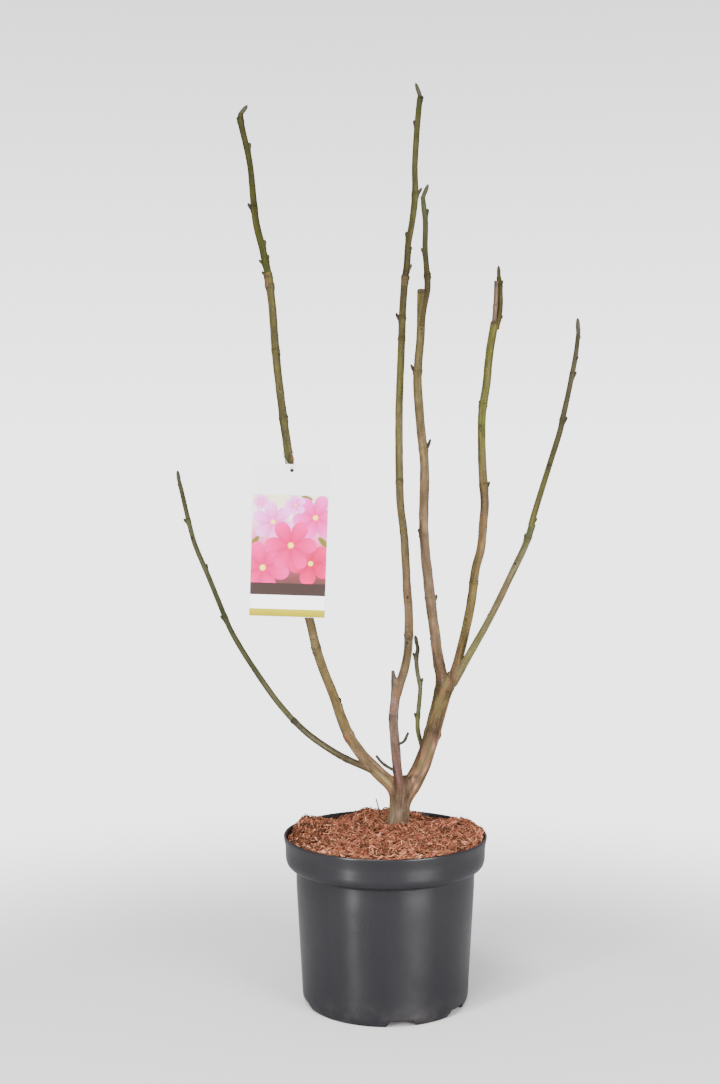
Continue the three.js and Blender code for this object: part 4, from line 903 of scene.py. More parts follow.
def skin_at(limb, s, turn):
    """Radius, colour and grain place of a limb's bark at a distance and a turn round it. The radius
    carries streaks, ribs and lumps of soft noise, deeper in older, thicker wood. It swells by w
    exp(-(d/reach)^2) at a ring, with a broken ridge and groove on it, lifts in a cushion
    exp(-(d/1.8)^2 - (off/1.7)^2) under each bud, and rises at each listed spot, exp(-((d/tall)^2 +
    (off/wide)^2)^1.6). The colour is the limb's tone at that height times exp of patches, stripes
    and blotches of soft noise, duller by a ring, brown in a crescent below a bud, and the spot's
    own tone in its spot. Most spots are scar marks and patches of the bark; a few are painted
    highlights down a limb's side and painted shade in crotches and down a shaded side."""
    plain = np.interp(s, limb["s"], limb["radius"])
    height = np.interp(s, limb["s"], limb["line"][:, 2])
    age = np.clip((plain - 2.6) / 9, 0, 1)
    radius = plain.copy()
    seed = 7 * len(limb["route"]) + int(limb["route"][0][2])
    grain = np.stack([plain * np.cos(turn), plain * np.sin(turn), height], axis=-1)
    shaken = grain + 0.8 * soft_noise(grain / 9, seed + 5)[..., None]
    streak = soft_noise(shaken / (1.25, 1.25, 15), seed)
    rib = soft_noise(shaken / (3.2, 3.2, 34), seed + 1)
    lump = soft_noise(grain / (7.5, 7.5, 11), seed + 2)
    radius += (0.05 + 0.20 * age) * streak + (0.07 + 0.42 * age) * rib
    radius += (0.05 + 0.62 * age) * lump
    heights, tones = zip(*limb["tones"])
    tones = seen_as(tones)
    tint = np.stack([np.interp(height, heights, tones[:, i]) for i in range(3)], axis=-1)
    patch = soft_noise(grain / (4.2, 4.2, 10), seed + 3)
    stripe = soft_noise(shaken / (1.9, 1.9, 46), seed + 6)
    stripe = stripe + 0.6 * soft_noise(shaken / (1.1, 1.1, 21), seed + 7)
    blotch = soft_noise(shaken / (6.5, 6.5, 30), seed + 10)
    tint = tint * np.exp((0.20 + 0.30 * age) * patch + (0.26 + 0.2 * age) * stripe
                         + 0.2 * blotch + (0.05 + 0.06 * age) * rib)[..., None]
    warmer = soft_noise(grain / (4, 4, 26), seed + 4) + 0.5 * stripe + 0.6 * blotch
    tint = tint * np.exp(warmer[..., None] * (0.07, -0.02, 0.12))
    for ring_height, swelling in limb.get("rings", []):
        d = s - at_height(limb, ring_height)
        wobble = d + 0.5 * np.sin(turn * 2 + ring_height)
        broken = np.clip(0.55 + 0.8 * soft_noise(grain / 2.4, seed + 8), 0, 1)
        ridge = np.exp(-(wobble / 1.0) ** 2) * broken
        groove = np.exp(-((wobble - 1.9) / 0.9) ** 2) * broken
        radius += swelling * np.exp(-(d / RING_REACH) ** 2) + 0.22 * ridge - 0.12 * groove
        dusky = np.exp(-((d - 1) / 2.6) ** 2)
        tint = tint * (1 + 0.06 * ridge - 0.36 * groove - 0.17 * dusky)[..., None]
    for bud_height, side, *_ in limb.get("buds", []):
        d = s - at_height(limb, bud_height)
        off = np.angle(np.exp(1j * (turn + math.radians(side)))) * plain
        radius += 0.55 * np.exp(-((d + 0.9) / 1.8) ** 2 - (off / 1.7) ** 2)
        crescent = np.exp(-((d + 2.2 - 0.12 * off ** 2) / 0.75) ** 2 - (off / 1.5) ** 2)
        tint = tint + (seen_as(CRESCENT_TONE) - tint) * (0.75 * crescent)[..., None]
    # Spots: scar marks and patches, and a few painted highlights and painted shade.
    for spot_height, side, tall, wide, tone, rise in limb.get("scars", []):
        d = s - at_height(limb, spot_height)
        off = np.angle(np.exp(1j * (turn + math.radians(side)))) * plain
        edge = 0.25 * soft_noise(grain / 1.6, seed + 9)
        spot = np.exp(-((d / tall) ** 2 + (off / wide) ** 2) ** 1.6 * (1 + edge))
        radius += rise * spot
        tint = tint + (seen_as(tone) - tint) * (0.85 * spot)[..., None]
    return radius, np.clip(tint, 0, 1), grain


for limb in LIMBS.values():
    lay_out(limb)

# Nodes follow each other round a limb, so small buds also stand at its back and a few in
# front, wherever none of the listed buds is near.
BUD_ROOM = 13                         # millimetres that a small bud keeps from those listed
rng = np.random.default_rng(29)
for name, limb in LIMBS.items():
    if name in ONE_WITH_TRUNK:
        continue
    height = limb["route"][0][2] + 12
    small_buds = []
    while height < limb["route"][-1][2] - 8:
        side = (BACK, BACK, FRONT)[rng.integers(3)] + rng.uniform(-50, 50)
        if all(abs(height - other) > BUD_ROOM for other, *_ in limb.get("buds", [])):
            small_buds.append((height, side, rng.uniform(3, 4.6)))
        height += rng.uniform(24, 46)
    limb["buds"] = limb.get("buds", []) + small_buds


def tube(limb, rows, sides, radius):
    """Rings of a limb at distances along it, each its middle plus across * r cos a plus
    outward * r sin a, closed by a middle point at both ends. Returns points, quads, ends."""
    turn = np.linspace(0, 2 * np.pi, sides, endpoint=False)[None, :]
    middle, _, across, outward = frame_at(limb, rows)
    ring = (middle[:, None] + across[:, None] * (radius * np.cos(turn))[..., None]
            + outward[:, None] * (radius * np.sin(turn))[..., None])
    points = np.concatenate([ring.reshape(-1, 3), middle[:1], middle[-1:]])
    return points, grid_quads(len(rows), sides)[:, ::-1], both_ends(len(rows), sides)


# Plain tubes of the limbs that grow together, a little too thick, are melted into one skin.
FRAMEWORK = ["trunk", "right_bough", "left_leader", "centre_stem", "left_low_bough",
             "centre_leader", "inner_leader", "right_leader", "right_side_bough", "green_twig"]
RAW_SIDES, RAW_PROUD = 32, 0.4
VOXEL = 0.00078                       # metres
raw_points, raw_quads, raw_ends = [], [], []
for name in FRAMEWORK:
    limb = LIMBS[name]
    limb["last"] = limb["length"]
    if name in TAKE_OVER:
        limb["ring"] = at_height(limb, TAKE_OVER[name])
        limb["last"] = limb["ring"] + HANDING_OVER + OVERLAP
    rows = np.arange(0, limb["last"], 1.0)
    thick = RAW_PROUD + np.interp(rows, limb["s"], limb["radius"])
    points, quads, ends = tube(limb, rows, RAW_SIDES, thick[:, None] + np.zeros((1, RAW_SIDES)))
    shift = sum(len(p) for p in raw_points)
    raw_points.append(points)
    raw_quads.append(quads + shift)
    raw_ends.append(ends + shift)
raw = put_mesh("raw_framework", np.concatenate(raw_points), np.concatenate(raw_quads),
               np.concatenate(raw_ends))
union = raw.modifiers.new("union", "REMESH")
union.mode = "VOXEL"
union.voxel_size = VOXEL
welded = bpy.data.meshes.new_from_object(
    raw.evaluated_get(bpy.context.evaluated_depsgraph_get()))
bpy.data.objects.remove(raw)
places = np.empty(len(welded.vertices) * 3, np.float32)
welded.vertices.foreach_get("co", places)
places = places.reshape(-1, 3).astype(float) / MM
corners = np.empty(len(welded.loops), np.int32)
welded.loops.foreach_get("vertex_index", corners)


def to_limb(limb, places):
    """For each place the distance along a limb to its nearest point, the turn round it there,
    the direction out of it and how far out it is."""
    count = int(np.searchsorted(limb["s"], limb["last"])) + 1
    line = limb["line"][:count]
    nearest = np.concatenate([
        np.argmin((line ** 2).sum(-1)[None] - 2 * block @ line.T, axis=1)
        for block in np.array_split(places, max(1, len(places) // 8000))])
    away = places - line[nearest]
    tangent = limb["tangent"][nearest]
    s = np.clip(limb["s"][nearest] + (away * tangent).sum(-1), 0, limb["last"])
    middle, _, across, outward = frame_at(limb, s)
    away = places - middle
    far = np.linalg.norm(away, axis=-1)
    turn = np.arctan2((away * outward).sum(-1), (away * across).sum(-1))
    return s, turn, away / np.maximum(far, 1e-6)[:, None], far


def pull_to_bark(places):
    """Moves places onto the joint surface of the limbs, where -c log(sum of exp(-d/c)) is nil
    and d is the distance out of each limb's bark, by a Newton step along the mixed direction.
    Returns them with their colours and grain places, mixed by the same shares. A colour is darker
    by 0.15 (1 - the largest share): painted shade in the crotches, where limbs run together."""
    total, largest = np.zeros(len(places)), np.zeros(len(places))
    slope, tint, grain = (np.zeros((len(places), 3)) for _ in range(3))
    for name in FRAMEWORK:
        limb = LIMBS[name]
        bound = limb["line"][:int(np.searchsorted(limb["s"], limb["last"])) + 1]
        low, high = bound.min(0) - LIMB_REACH, bound.max(0) + LIMB_REACH
        near = np.nonzero(((places > low) & (places < high)).all(-1))[0]
        s, turn, direction, far = to_limb(limb, places[near])
        radius, its_tint, its_grain = skin_at(limb, s, turn)
        if name in TAKE_OVER:
            radius = radius - SUNK_SKIN * np.clip((s - limb["ring"]) / HANDING_OVER, 0, 1)
        share = np.exp(np.clip(-(far - radius) / COLLAR, -40, 40))
        total[near] += share
        largest[near] = np.maximum(largest[near], share)
        slope[near] += share[:, None] * direction
        tint[near] += share[:, None] * its_tint
        grain[near] += share[:, None] * its_grain
    total = np.maximum(total, 1e-30)
    slope /= total[:, None]
    steep = np.maximum((slope ** 2).sum(-1), 0.25)
    step = np.clip(-COLLAR * np.log(total) / steep, -2, 2)
    # Painted shade: where limbs run together in a crotch, the colour is darkened.
    tint *= (0.85 + 0.15 * np.clip(largest / total, 0, 1))[:, None]
    return places - slope * step[:, None], tint / total[:, None], grain / total[:, None]


for _ in range(4):                    # each step lands nearer
    places, tint, grain = pull_to_bark(places)
# The foot flares in three buttresses that fade out at 203 mm, and ends in the peat.
buttress = np.clip((203 - places[:, 2]) / 16, 0, 1) ** 1.5
around = np.arctan2(places[:, 1] - TRUNK_FOOT[1], places[:, 0] - TRUNK_FOOT[0])
places[:, :2] += (1.5 * buttress * np.cos(3 * around + 1.1))[:, None] * np.stack(
    [np.cos(around), np.sin(around)], axis=-1)
places[:, 2] = np.maximum(places[:, 2], BED_FOOT + 0.6)
framework = put_mesh("woody_framework", places, corners.reshape(-1, 4))


def paint(piece, name, colours):
    """Stores a colour for each of a piece's corners under a name."""
    colours = np.concatenate([colours.reshape(-1, 3), np.ones((colours.size // 3, 1))], axis=1)
    piece.data.color_attributes.new(name, "FLOAT_COLOR", "POINT").data.foreach_set(
        "color", colours.astype(np.float32).ravel())


def colour_in(piece, tint, grain):
    """Stores the bark's colour and its grain places, in millimetres, on a piece's corners."""
    paint(piece, "tint", tint)
    piece.data.attributes.new("grain", "FLOAT_VECTOR", "POINT").data.foreach_set(
        "vector", grain.astype(np.float32).ravel())


# What all bark shares: streaks are noise drawn out along the grain, and pores are the small
# middles of a cell pattern. The group puts out the colour and a height for the bump.
bark_grain, given, wanted = effect_group(
    "bark_grain", {"Place": "Vector", "Tone": "Color", "Contrast": "Float", "Pores": "Float"},
    {"Color": "Color", "Height": "Float"})


def drawn_out(*scale):
    """The grain place, squeezed by a scale on each axis."""
    return wire(bark_grain, "ShaderNodeMapping", n0=given["Place"], scale=scale).outputs[0]


streaks = noise(bark_grain, drawn_out(1.5, 1.5, 0.11), 1.0, 5, 0.6)
fine = noise(bark_grain, drawn_out(5, 5, 0.9), 1.0, 3)
cells = wire(bark_grain, "ShaderNodeTexVoronoi", vector=drawn_out(0.42, 0.42, 0.24),
             scale=1.0).outputs["Distance"]
dots = reckoned(bark_grain, "MULTIPLY", ranged(bark_grain, cells, 0.17, 0.07), given["Pores"])
uneven = reckoned(bark_grain, "ADD", reckoned(bark_grain, "MULTIPLY_ADD", streaks, 2.0, -1.0),
                  reckoned(bark_grain, "MULTIPLY_ADD", fine, 0.7, -0.35))
gain = reckoned(bark_grain, "MULTIPLY_ADD", uneven, given["Contrast"], 1.0)
shaded = wire(bark_grain, "ShaderNodeVectorMath", {"operation": "SCALE"}, n0=given["Tone"],
              scale=gain).outputs[0]
bark_grain.links.new(blend_colour(bark_grain, dots, shaded, (0.42, 0.34, 0.22)), wanted["Color"])
bark_grain.links.new(reckoned(bark_grain, "MULTIPLY_ADD", dots, 0.35, uneven), wanted["Height"])


def attribute(tree, name, output):
    """What a piece's own attribute puts out."""
    return wire(tree, "ShaderNodeAttribute", {"attribute_name": name}).outputs[output]


def bark_material(name, contrast, pores, roughness, depth, gloss=0.2):
    """Bark whose colour comes from the piece's own tint, with streaks so contrasting, pores so
    strong, and a relief so many metres deep."""
    material, tree, shader = plain_material(name, (0.25, 0.2, 0.12), roughness)
    bark = wire(tree, "ShaderNodeGroup", {"node_tree": bark_grain}, contrast=contrast, pores=pores,
                tone=attribute(tree, "tint", "Color"), place=attribute(tree, "grain", "Vector"))
    tree.links.new(bark.outputs["Color"], shader.inputs["Base Color"])
    bump(tree, bark.outputs["Height"], shader, 0.7, depth)
    shader.inputs["Specular IOR Level"].default_value = gloss
    return material


colour_in(framework, tint, grain)
framework.data.materials.append(bark_material("trunk_bark", 0.6, 0.45, 0.72, 0.0004))
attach(framework, "root")
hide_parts("trunk", "right_bough", "left_bough", "centre_stem")

# ------------------------------------------------------------------------------ leaders
# Each leader grows out of the framework and ends where the last season's shoot begins. Two
# were cut off there. Their bark is smoother and greener than the trunk's, with close rings
# where the season ended.

LEADERS = {                           # the record's finish of each
    "left_leader": "olive_bark", "left_low_bough": "green_bough_bark",
    "centre_leader": "olive_bark", "inner_leader": "olive_bark",
    "right_leader": "olive_bark", "right_side_bough": "olive_bark",
}
CUT_ENDS = {"inner_leader": (92, 70, 52), "right_leader": (74, 58, 42)}
LIMB_SIDES = 36
RING_GAP, FINE_GAP, LEAST_GAP = 1.6, 0.5, 0.24
FINE_REACH = 4.5
# The rings past a limb's end: how far out on its shoulder, how wide, and how much end tone.
END_RINGS = np.array([(0, 0.99, 0.25), (0.35, 0.93, 0.75), (0.7, 0.80, 1), (0.9, 0.62, 1),
                      (1.0, 0.36, 1)])


def limb_piece(name, limb, end_tone=None, shoulder=1.6):
    """A limb's own bark, in rings that lie closer within the fine reach of its marks, the
    season's rings and buds. Below its take-over ring the skin sinks inside the framework's,
    and past the end it narrows to a shoulder that closes it."""
    first = limb["ring"] - HANDING_OVER - OVERLAP if "ring" in limb else 0.0
    marks = [at_height(limb, h) for h, *_ in limb.get("rings", []) + limb.get("buds", [])]
    rows = [np.arange(first, limb["length"], RING_GAP)]
    rows += [np.arange(-FINE_REACH, FINE_REACH + 0.1, FINE_GAP) + mark for mark in marks]
    rows = np.unique(np.round(np.concatenate(rows), 2))
    rows = rows[(rows >= first) & (rows < limb["length"] - 0.3)]
    rows = rows[np.concatenate([[True], np.diff(rows) > LEAST_GAP])]
    rows = np.concatenate([rows, limb["length"] + shoulder * END_RINGS[:, 0]])
    turn = np.linspace(0, 2 * np.pi, LIMB_SIDES, endpoint=False)[None, :]
    s = np.minimum(rows, limb["length"])[:, None] + 0 * turn
    radius, tint, grain = skin_at(limb, s, turn + 0 * s)
    ends = slice(-len(END_RINGS), None)
    radius[ends] *= END_RINGS[:, 1:2]
    if "ring" in limb:
        sunk = np.clip((limb["ring"] - rows) / HANDING_OVER, 0, 1)
        radius -= SUNK_SKIN * sunk[:, None]
    if end_tone is not None:
        share = END_RINGS[:, 2, None, None]
        tint[ends] = tint[ends] * (1 - share) + seen_as(end_tone) * share
    piece = put_mesh(name, *tube(limb, rows, LIMB_SIDES, radius))
    colour_in(piece, np.concatenate([tint.reshape(-1, 3), tint[0, :1], tint[-1, :1]]),
              np.concatenate([grain.reshape(-1, 3), grain[0, :1], grain[-1, :1]]))
    return piece


leader_bark = bark_material("leader_bark", 0.5, 0.45, 0.6, 0.0002)
for name, finish in LEADERS.items():
    leader = limb_piece(f"{name}_wood", LIMBS[name], CUT_ENDS.get(name))
    leader.data.materials.append(leader_bark)
    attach(leader, "root")
    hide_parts(name)

# ------------------------------------------------------------------------------ season's shoots
# Last season's growth ends most limbs: slender, olive green and faintly downy. It is tapered,
# kinked a little here and there, and closed by the bud at its tip.

SHOOTS = ["left_tip_shoot", "left_low_shoot", "centre_tip_shoot", "inner_tip_shoot",
          "right_tip_shoot", "right_side_shoot", "green_twig"]
shoot_bark = bark_material("shoot_bark", 0.34, 0.15, 0.5, 0.00009, gloss=0.12)
for name in SHOOTS:
    shoot = limb_piece(f"{name}_wood", LIMBS[name], shoulder=1.2)
    shoot.data.materials.append(shoot_bark)
    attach(shoot, "root")
    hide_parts(name)

# ------------------------------------------------------------------------------ winter buds
# Each bud sits on the cushion over a leaf scar, pressed towards the shoot's tip: blunt, closed
# by one scale wrapped over the rest, brown to grey green. Longer downy ones end the shoots.

BUD_TONES = {                         # colour and share of each kind of bud
    "bud_umber": ((0.022, 0.014, 0.008), 0.5),
    "bud_olive": ((0.036, 0.030, 0.012), 0.35),
    "bud_grey_green": ((0.044, 0.043, 0.021), 0.15),
}
OLIVE, GREY_GREEN = 1, 2              # their numbers
BUD_ROWS, BUD_SIDES = 11, 10
SMALL_BUD, BIG_BUD, TIP_BUD = 3.9, 4.4, 5.4   # thickness; a bud over 6 mm long is a big one
TIP_SUNK = 1.6                        # how deep a tip's bud is set into its shoot


def bud_skin(root, direction, upward, length, thickness):
    """A bud from its root. Its middle runs along its direction and bends to the shoot's by
    0.2 t^2; its radius is thickness/2 * 1.05 (1 - t^3)^0.5 (0.82 + 0.3 t), thicker by a
    twelfth below the slanting edge of the outer scale."""
    t = np.linspace(0, 1, BUD_ROWS)[:, None]
    turn = np.linspace(0, 2 * np.pi, BUD_SIDES, endpoint=False)[None, :]
    middle = root + direction * length * t + (upward - direction) * length * 0.2 * t ** 2
    across = np.cross(direction, upward)
    across /= np.linalg.norm(across)
    over = np.cross(across, direction)
    radius = thickness / 2 * 1.05 * np.maximum(1 - t ** 3, 0.01) ** 0.5 * (0.82 + 0.3 * t)
    wrapped = np.clip((0.52 + 0.2 * np.cos(turn - 0.9) - t) / 0.09, 0, 1)
    radius = radius * (0.95 + 0.08 * wrapped)
    points = (middle[:, None] + across * (radius * np.cos(turn))[..., None]
              + over * (radius * np.sin(turn))[..., None])
    return points.reshape(-1, 3)


# A bud along a shoot is rooted halfway into it, where its side says, and leans out by its
# spread. A tip's bud carries on from the end of the shoot.
bud_points, bud_kinds = [], []
rng = np.random.default_rng(41)
for name, limb in LIMBS.items():
    for height, side, length, *spread in limb.get("buds", []):
        s = at_height(limb, height)
        middle, tangent, _, _ = frame_at(limb, s)
        angle, lean = math.radians(side), math.radians(spread[0] if spread else BUD_SPREAD)
        outward = np.array((math.cos(angle), math.sin(angle), 0))
        outward -= tangent * outward.dot(tangent)
        outward /= np.linalg.norm(outward)
        direction = tangent * math.cos(lean) + outward * math.sin(lean)
        radius = np.interp(s, limb["s"], limb["radius"])
        root = middle + outward * radius * 0.5 - direction * 0.4
        bud_points.append(bud_skin(root, direction, tangent, length + radius * 0.55,
                                   BIG_BUD if length > 6 else SMALL_BUD))
        bud_kinds.append(rng.choice(len(BUD_TONES), p=[share for _, share in BUD_TONES.values()]))
    if "tip" in limb:
        root = limb["line"][-1]
        direction = np.array(limb["tip"]) - root
        length = np.linalg.norm(direction)
        direction = direction / length
        upward = direction + np.array((0, 0, 0.35))
        upward /= np.linalg.norm(upward)
        bud_points.append(bud_skin(root - direction * TIP_SUNK, direction, upward,
                                   length + TIP_SUNK, TIP_BUD))
        bud_kinds.append(OLIVE if name == "right_tip_shoot" else GREY_GREEN)
bud_materials = []
for tone_name, (colour, _) in BUD_TONES.items():
    material, tree, shader = plain_material(tone_name, colour, 0.6)
    bump(tree, relief(tree, 2600, 2), shader, 0.5, 0.0002)
    shader.inputs["Specular IOR Level"].default_value = 0.25
    shader.inputs["Sheen Weight"].default_value = 0.04
    bud_materials.append(material)
ends = np.concatenate([                # each end is closed by triangles from its first corner
    np.stack([np.full(BUD_SIDES - 2, first), first + np.arange(1, BUD_SIDES - 1),
              first + np.arange(2, BUD_SIDES)], -1)[:, ::turned_over]
    for first, turned_over in ((0, 1), ((BUD_ROWS - 1) * BUD_SIDES, -1))])
buds = put_many("winter_buds", np.array(bud_points), grid_quads(BUD_ROWS, BUD_SIDES)[:, ::-1],
                ends, bud_kinds, bud_materials)
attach(buds, "root")
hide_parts(*SHOOTS, *LEADERS)

# ------------------------------------------------------------------------------ dead twigs
# A dead stub stands beside the right leader's end, two thin spurs low in the middle, a stump in
# the right fork and a dry stalk in the shreds. They have dried grey or pinkish, and their ends
# are broken off.

BROKEN_END = (66, 54, 44)
DEAD_TWIGS = {
    "right_dead_stub": {
        "route": [(140.6, 144, 818, 5.8), (143.2, 143.5, 850, 5.6), (143.8, 143.5, 878, 5.0)],
        "rings": [(846, 0.35)], "scars": [(873, 250, 4, 2.2, (96, 74, 62), -0.5)],
        "tones": [(820, (124, 102, 76)), (840, (146, 120, 100)), (878, (142, 116, 98))]},
    "left_spur": {
        "route": [(14, 11, 272, 3.4), (-3, 2, 284, 3.0), (-11, -2, 294, 3.0)],
        "rings": [(282, 0.25)], "tones": [(272, (84, 78, 62)), (293, (74, 74, 60))]},
    "right_spur": {
        "route": [(11, 6, 305, 3.2), (22, 0.5, 311, 2.8), (27, -3.5, 322, 2.8)],
        "rings": [(314, 0.25)], "tones": [(305, (86, 80, 66)), (322, (76, 76, 64))]},
}
DRY_STALKS = {
    "crotch_stump": {
        "route": [(78, 60, 374, 4.6), (79.2, 58, 383, 3.6), (79, 57, 387, 2.8)],
        "tones": [(374, (134, 112, 82)), (387, (128, 112, 92))]},
    "dry_stalk": {
        "route": [(-2, 76, 193, 1.7), (-4.5, 75.5, 203, 1.5), (-7.5, 75, 214, 1.2),
                  (-10.5, 75, 225, 0.9)],
        "tones": [(193, (84, 74, 66)), (235, (60, 60, 64))]},
}
dead_bark = bark_material("dead_bark", 0.5, 0.0, 0.85, 0.0003)
for name, twig in (DEAD_TWIGS | DRY_STALKS).items():
    lay_out(twig)
    dead = limb_piece(f"{name}_wood", twig, BROKEN_END, shoulder=0.25)
    dead.data.materials.append(dead_bark)
    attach(dead, "root")
    if name in DEAD_TWIGS:
        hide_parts(name)

# ------------------------------------------------------------------------------ hang tag
# The care tag is a stiff white card, cut with rounded corners and punched for its tie. Its
# front is printed with blossoms over a dark band, a white strip and a yellow bar, all unworded.

CARD_WIDTH, CARD_HEIGHT, CARD_THICKNESS = 86.0, 173.0, 0.8
CARD_CORNER, HOLE_RADIUS = 2.0, 2.2
CARD_EDGE = 0.18                      # the cut edge is slightly rounded
CARD_RINGS = 26                       # on each face, from the hole to the outline
HOLE = (43.5, 6.9)                    # from the card's left edge and its top
CARD_TOP_LEFT = (-150.9, -79.0, 643.5)
CARD_ROLL, CARD_PITCH = 1.8, 3.0      # degrees
CARD_BOW, CARD_BELLY = 0.9, 0.4       # how far its sides bend back, and its middle forward


def hung(right, down, proud):
    """Places on the card, in millimetres to the right, down and out to the viewer, as places
    in space: the card hangs pitched forward about X and then rolled about Y. It bows back at
    its sides by the square of the way out, more at its foot, and bellies by the sine of the
    way down."""
    out = (right - CARD_WIDTH / 2) / (CARD_WIDTH / 2)
    fall = down / CARD_HEIGHT
    proud = (proud - CARD_BOW * out ** 2 * (0.3 + 0.7 * fall)
             + CARD_BELLY * np.sin(np.pi * fall))
    pitch, roll = math.radians(CARD_PITCH), math.radians(CARD_ROLL)
    y = -proud * math.cos(pitch) - down * math.sin(pitch)
    z = proud * math.sin(pitch) - down * math.cos(pitch)
    x, z = (right * math.cos(roll) + z * math.sin(roll),
            -right * math.sin(roll) + z * math.cos(roll))
    return np.stack([x, y, z], axis=-1) + CARD_TOP_LEFT


# The outline runs round four corner arcs, and the hole's rim has a point for each of its own.
arc = np.linspace(0, np.pi / 2, 7)
right_arc, lower_arc = CARD_WIDTH - CARD_CORNER, CARD_HEIGHT - CARD_CORNER
outline = np.concatenate([
    np.stack([x + CARD_CORNER * np.cos(arc + a), y + CARD_CORNER * np.sin(arc + a)], -1)
    for x, y, a in ((right_arc, CARD_CORNER, -np.pi / 2), (right_arc, lower_arc, 0),
                    (CARD_CORNER, lower_arc, np.pi / 2), (CARD_CORNER, CARD_CORNER, np.pi))])
loop = np.concatenate([outline, outline[:1]])
along = np.concatenate([[0], np.cumsum(np.linalg.norm(np.diff(loop, axis=0), axis=1))])
stations = np.unique(np.round(np.concatenate([along, np.linspace(0, along[-1], 161)]), 3))[:-1]
outline = np.stack([np.interp(stations, along, loop[:, i]) for i in range(2)], axis=-1)
hole = np.array(HOLE)
spoke = outline - hole
rim = hole + HOLE_RADIUS * spoke / np.linalg.norm(spoke, axis=1, keepdims=True)
share = np.linspace(0, 1, CARD_RINGS)[:, None, None]
spoke_length = np.linalg.norm(outline - rim, axis=1)[None, :, None]
inner_share = CARD_EDGE / spoke_length + share * (1 - 2 * CARD_EDGE / spoke_length)
flat = rim + (outline - rim) * inner_share
rim_row, outline_row = rim[None], outline[None]
rows = np.concatenate([rim_row, rim_row, flat, outline_row, outline_row, flat[::-1]])
sides = [CARD_EDGE, CARD_THICKNESS - CARD_EDGE]
proud = np.concatenate([sides, np.full(CARD_RINGS, CARD_THICKNESS), sides[::-1],
                        np.zeros(CARD_RINGS)])[:, None]
points = hung(rows[..., 0], rows[..., 1], proud + 0 * rows[..., 0])
card = put_mesh("tag_card", points.reshape(-1, 3), grid_quads(*rows.shape[:2], closed=True))
white_card, tree, shader = plain_material("white_card", (0.9, 0.9, 0.89), 0.38)
pulp = relief(tree, 900, 3)
pulp_tone = ramp(tree, pulp, [(0.3, (0.84, 0.885, 0.85)), (0.7, (0.90, 0.945, 0.91))])
tree.links.new(pulp_tone, shader.inputs["Base Color"])
bump(tree, pulp, shader, 0.3, 0.00003)
card.data.materials.append(white_card)
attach(card, "root")
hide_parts("plant_tag")

# The print is a skin of ink on the card's front. Blossoms are painted one over another: within
# r < R (0.55 + 0.45 |cos(n a / 2)|^0.7) of a middle, n petals fade from heart to edge.
INK = 0.04                            # how proud of the card it lies, and how deep it is sunk
SCREEN_DEPTH = 0.14                   # how much its fine screen darkens it
PICTURE_TOP, BAND_TOP, STRIP_TOP, BAR_TOP, PRINT_FOOT = 35.0, 135.0, 148.5, 164.3, 172.6
PRINT_INSET, PRINT_STEP, PRINT_COLUMNS = 0.35, 0.8, 108
PRINT_EDGE = 0.02                     # half the width of the edge between two of its bands
LEAF_TONE, EYE_TONE = (150, 148, 50), (232, 214, 120)
BLOSSOMS = [                          # right, down, radius, petals, turn, heart and edge tone
    (14, 118, 31, 6, 0.2, (207, 0, 124), (216, 60, 178)),
    (72, 60, 27, 6, 0.9, (213, 20, 150), (217, 128, 204)),
    (68, 112, 26, 5, 0.5, (200, 0, 96), (214, 20, 150)),
    (24, 66, 24, 6, 1.4, (216, 112, 194), (218, 186, 216)),
    (45, 92, 30, 6, 0.0, (206, 0, 122), (216, 40, 172)),
    (49, 46, 13, 5, 0.7, (216, 122, 200), (218, 190, 217)),
    (10, 44, 11, 5, 1.9, (217, 132, 202), (218, 196, 217)),
]
LEAVES = [                            # right, down, half length, half width, turn
    (82, 88, 9, 3.4, 0.8), (4, 88, 8, 3.0, 2.3), (62, 38, 7, 2.6, 0.3)]
BACKDROP = [(0, (214, 213, 200)), (0.25, (218, 213, 215)), (0.7, (214, 120, 172)),
            (0.95, (152, 86, 88)), (1, (140, 84, 80))]      # down the picture
down_rows = np.unique(np.concatenate(
    [np.arange(PICTURE_TOP, BAND_TOP, PRINT_STEP), [PRINT_FOOT]]
    + [[top - PRINT_EDGE, top + PRINT_EDGE] for top in (BAND_TOP, STRIP_TOP, BAR_TOP)]))
right, down = np.meshgrid(
    np.linspace(PRINT_INSET, CARD_WIDTH - PRINT_INSET, PRINT_COLUMNS), down_rows)
stops, tones = zip(*BACKDROP)
fall = (down - PICTURE_TOP) / (BAND_TOP - PICTURE_TOP)
ink = seen_as(np.stack([np.interp(fall, stops, tone) for tone in zip(*tones)], axis=-1))
ink = ink * (1 + 0.05 * level_noise(right, down, 9, 61))[..., None]
for x, y, long, wide, turn in LEAVES:
    ahead = (right - x) * math.cos(turn) + (down - y) * math.sin(turn)
    aside = (down - y) * math.cos(turn) - (right - x) * math.sin(turn)
    inside = np.clip((1 - (ahead / long) ** 2 - (aside / wide) ** 2) * 4, 0, 1)[..., None]
    ink = ink * (1 - inside) + seen_as(LEAF_TONE) * inside
for x, y, reach, petals, turn, heart, edge in BLOSSOMS:
    away = np.hypot(right - x, down - y)
    angle = np.arctan2(down - y, right - x) - turn
    lobe = np.abs(np.cos(petals * angle / 2)) ** 0.7
    fringe = reach * (0.55 + 0.45 * lobe)
    inside = np.clip((fringe - away) / 1.2, 0, 1)[..., None]
    out = np.clip(away / reach, 0, 1)[..., None]
    petal = seen_as(heart) * (1 - out) ** 1.1 + seen_as(edge) * (1 - (1 - out) ** 1.1)
    edge_line = np.clip(1 - np.abs(fringe - away)[..., None] / 2.5, 0, 1)
    petal = petal * (0.80 + 0.24 * lobe[..., None]) * (1 - 0.10 * edge_line)
    ink = ink * (1 - inside) + petal * inside
    eye = np.clip((reach * 0.12 - away) / 0.8, 0, 1)[..., None]
    ink = ink * (1 - eye) + seen_as(EYE_TONE) * eye
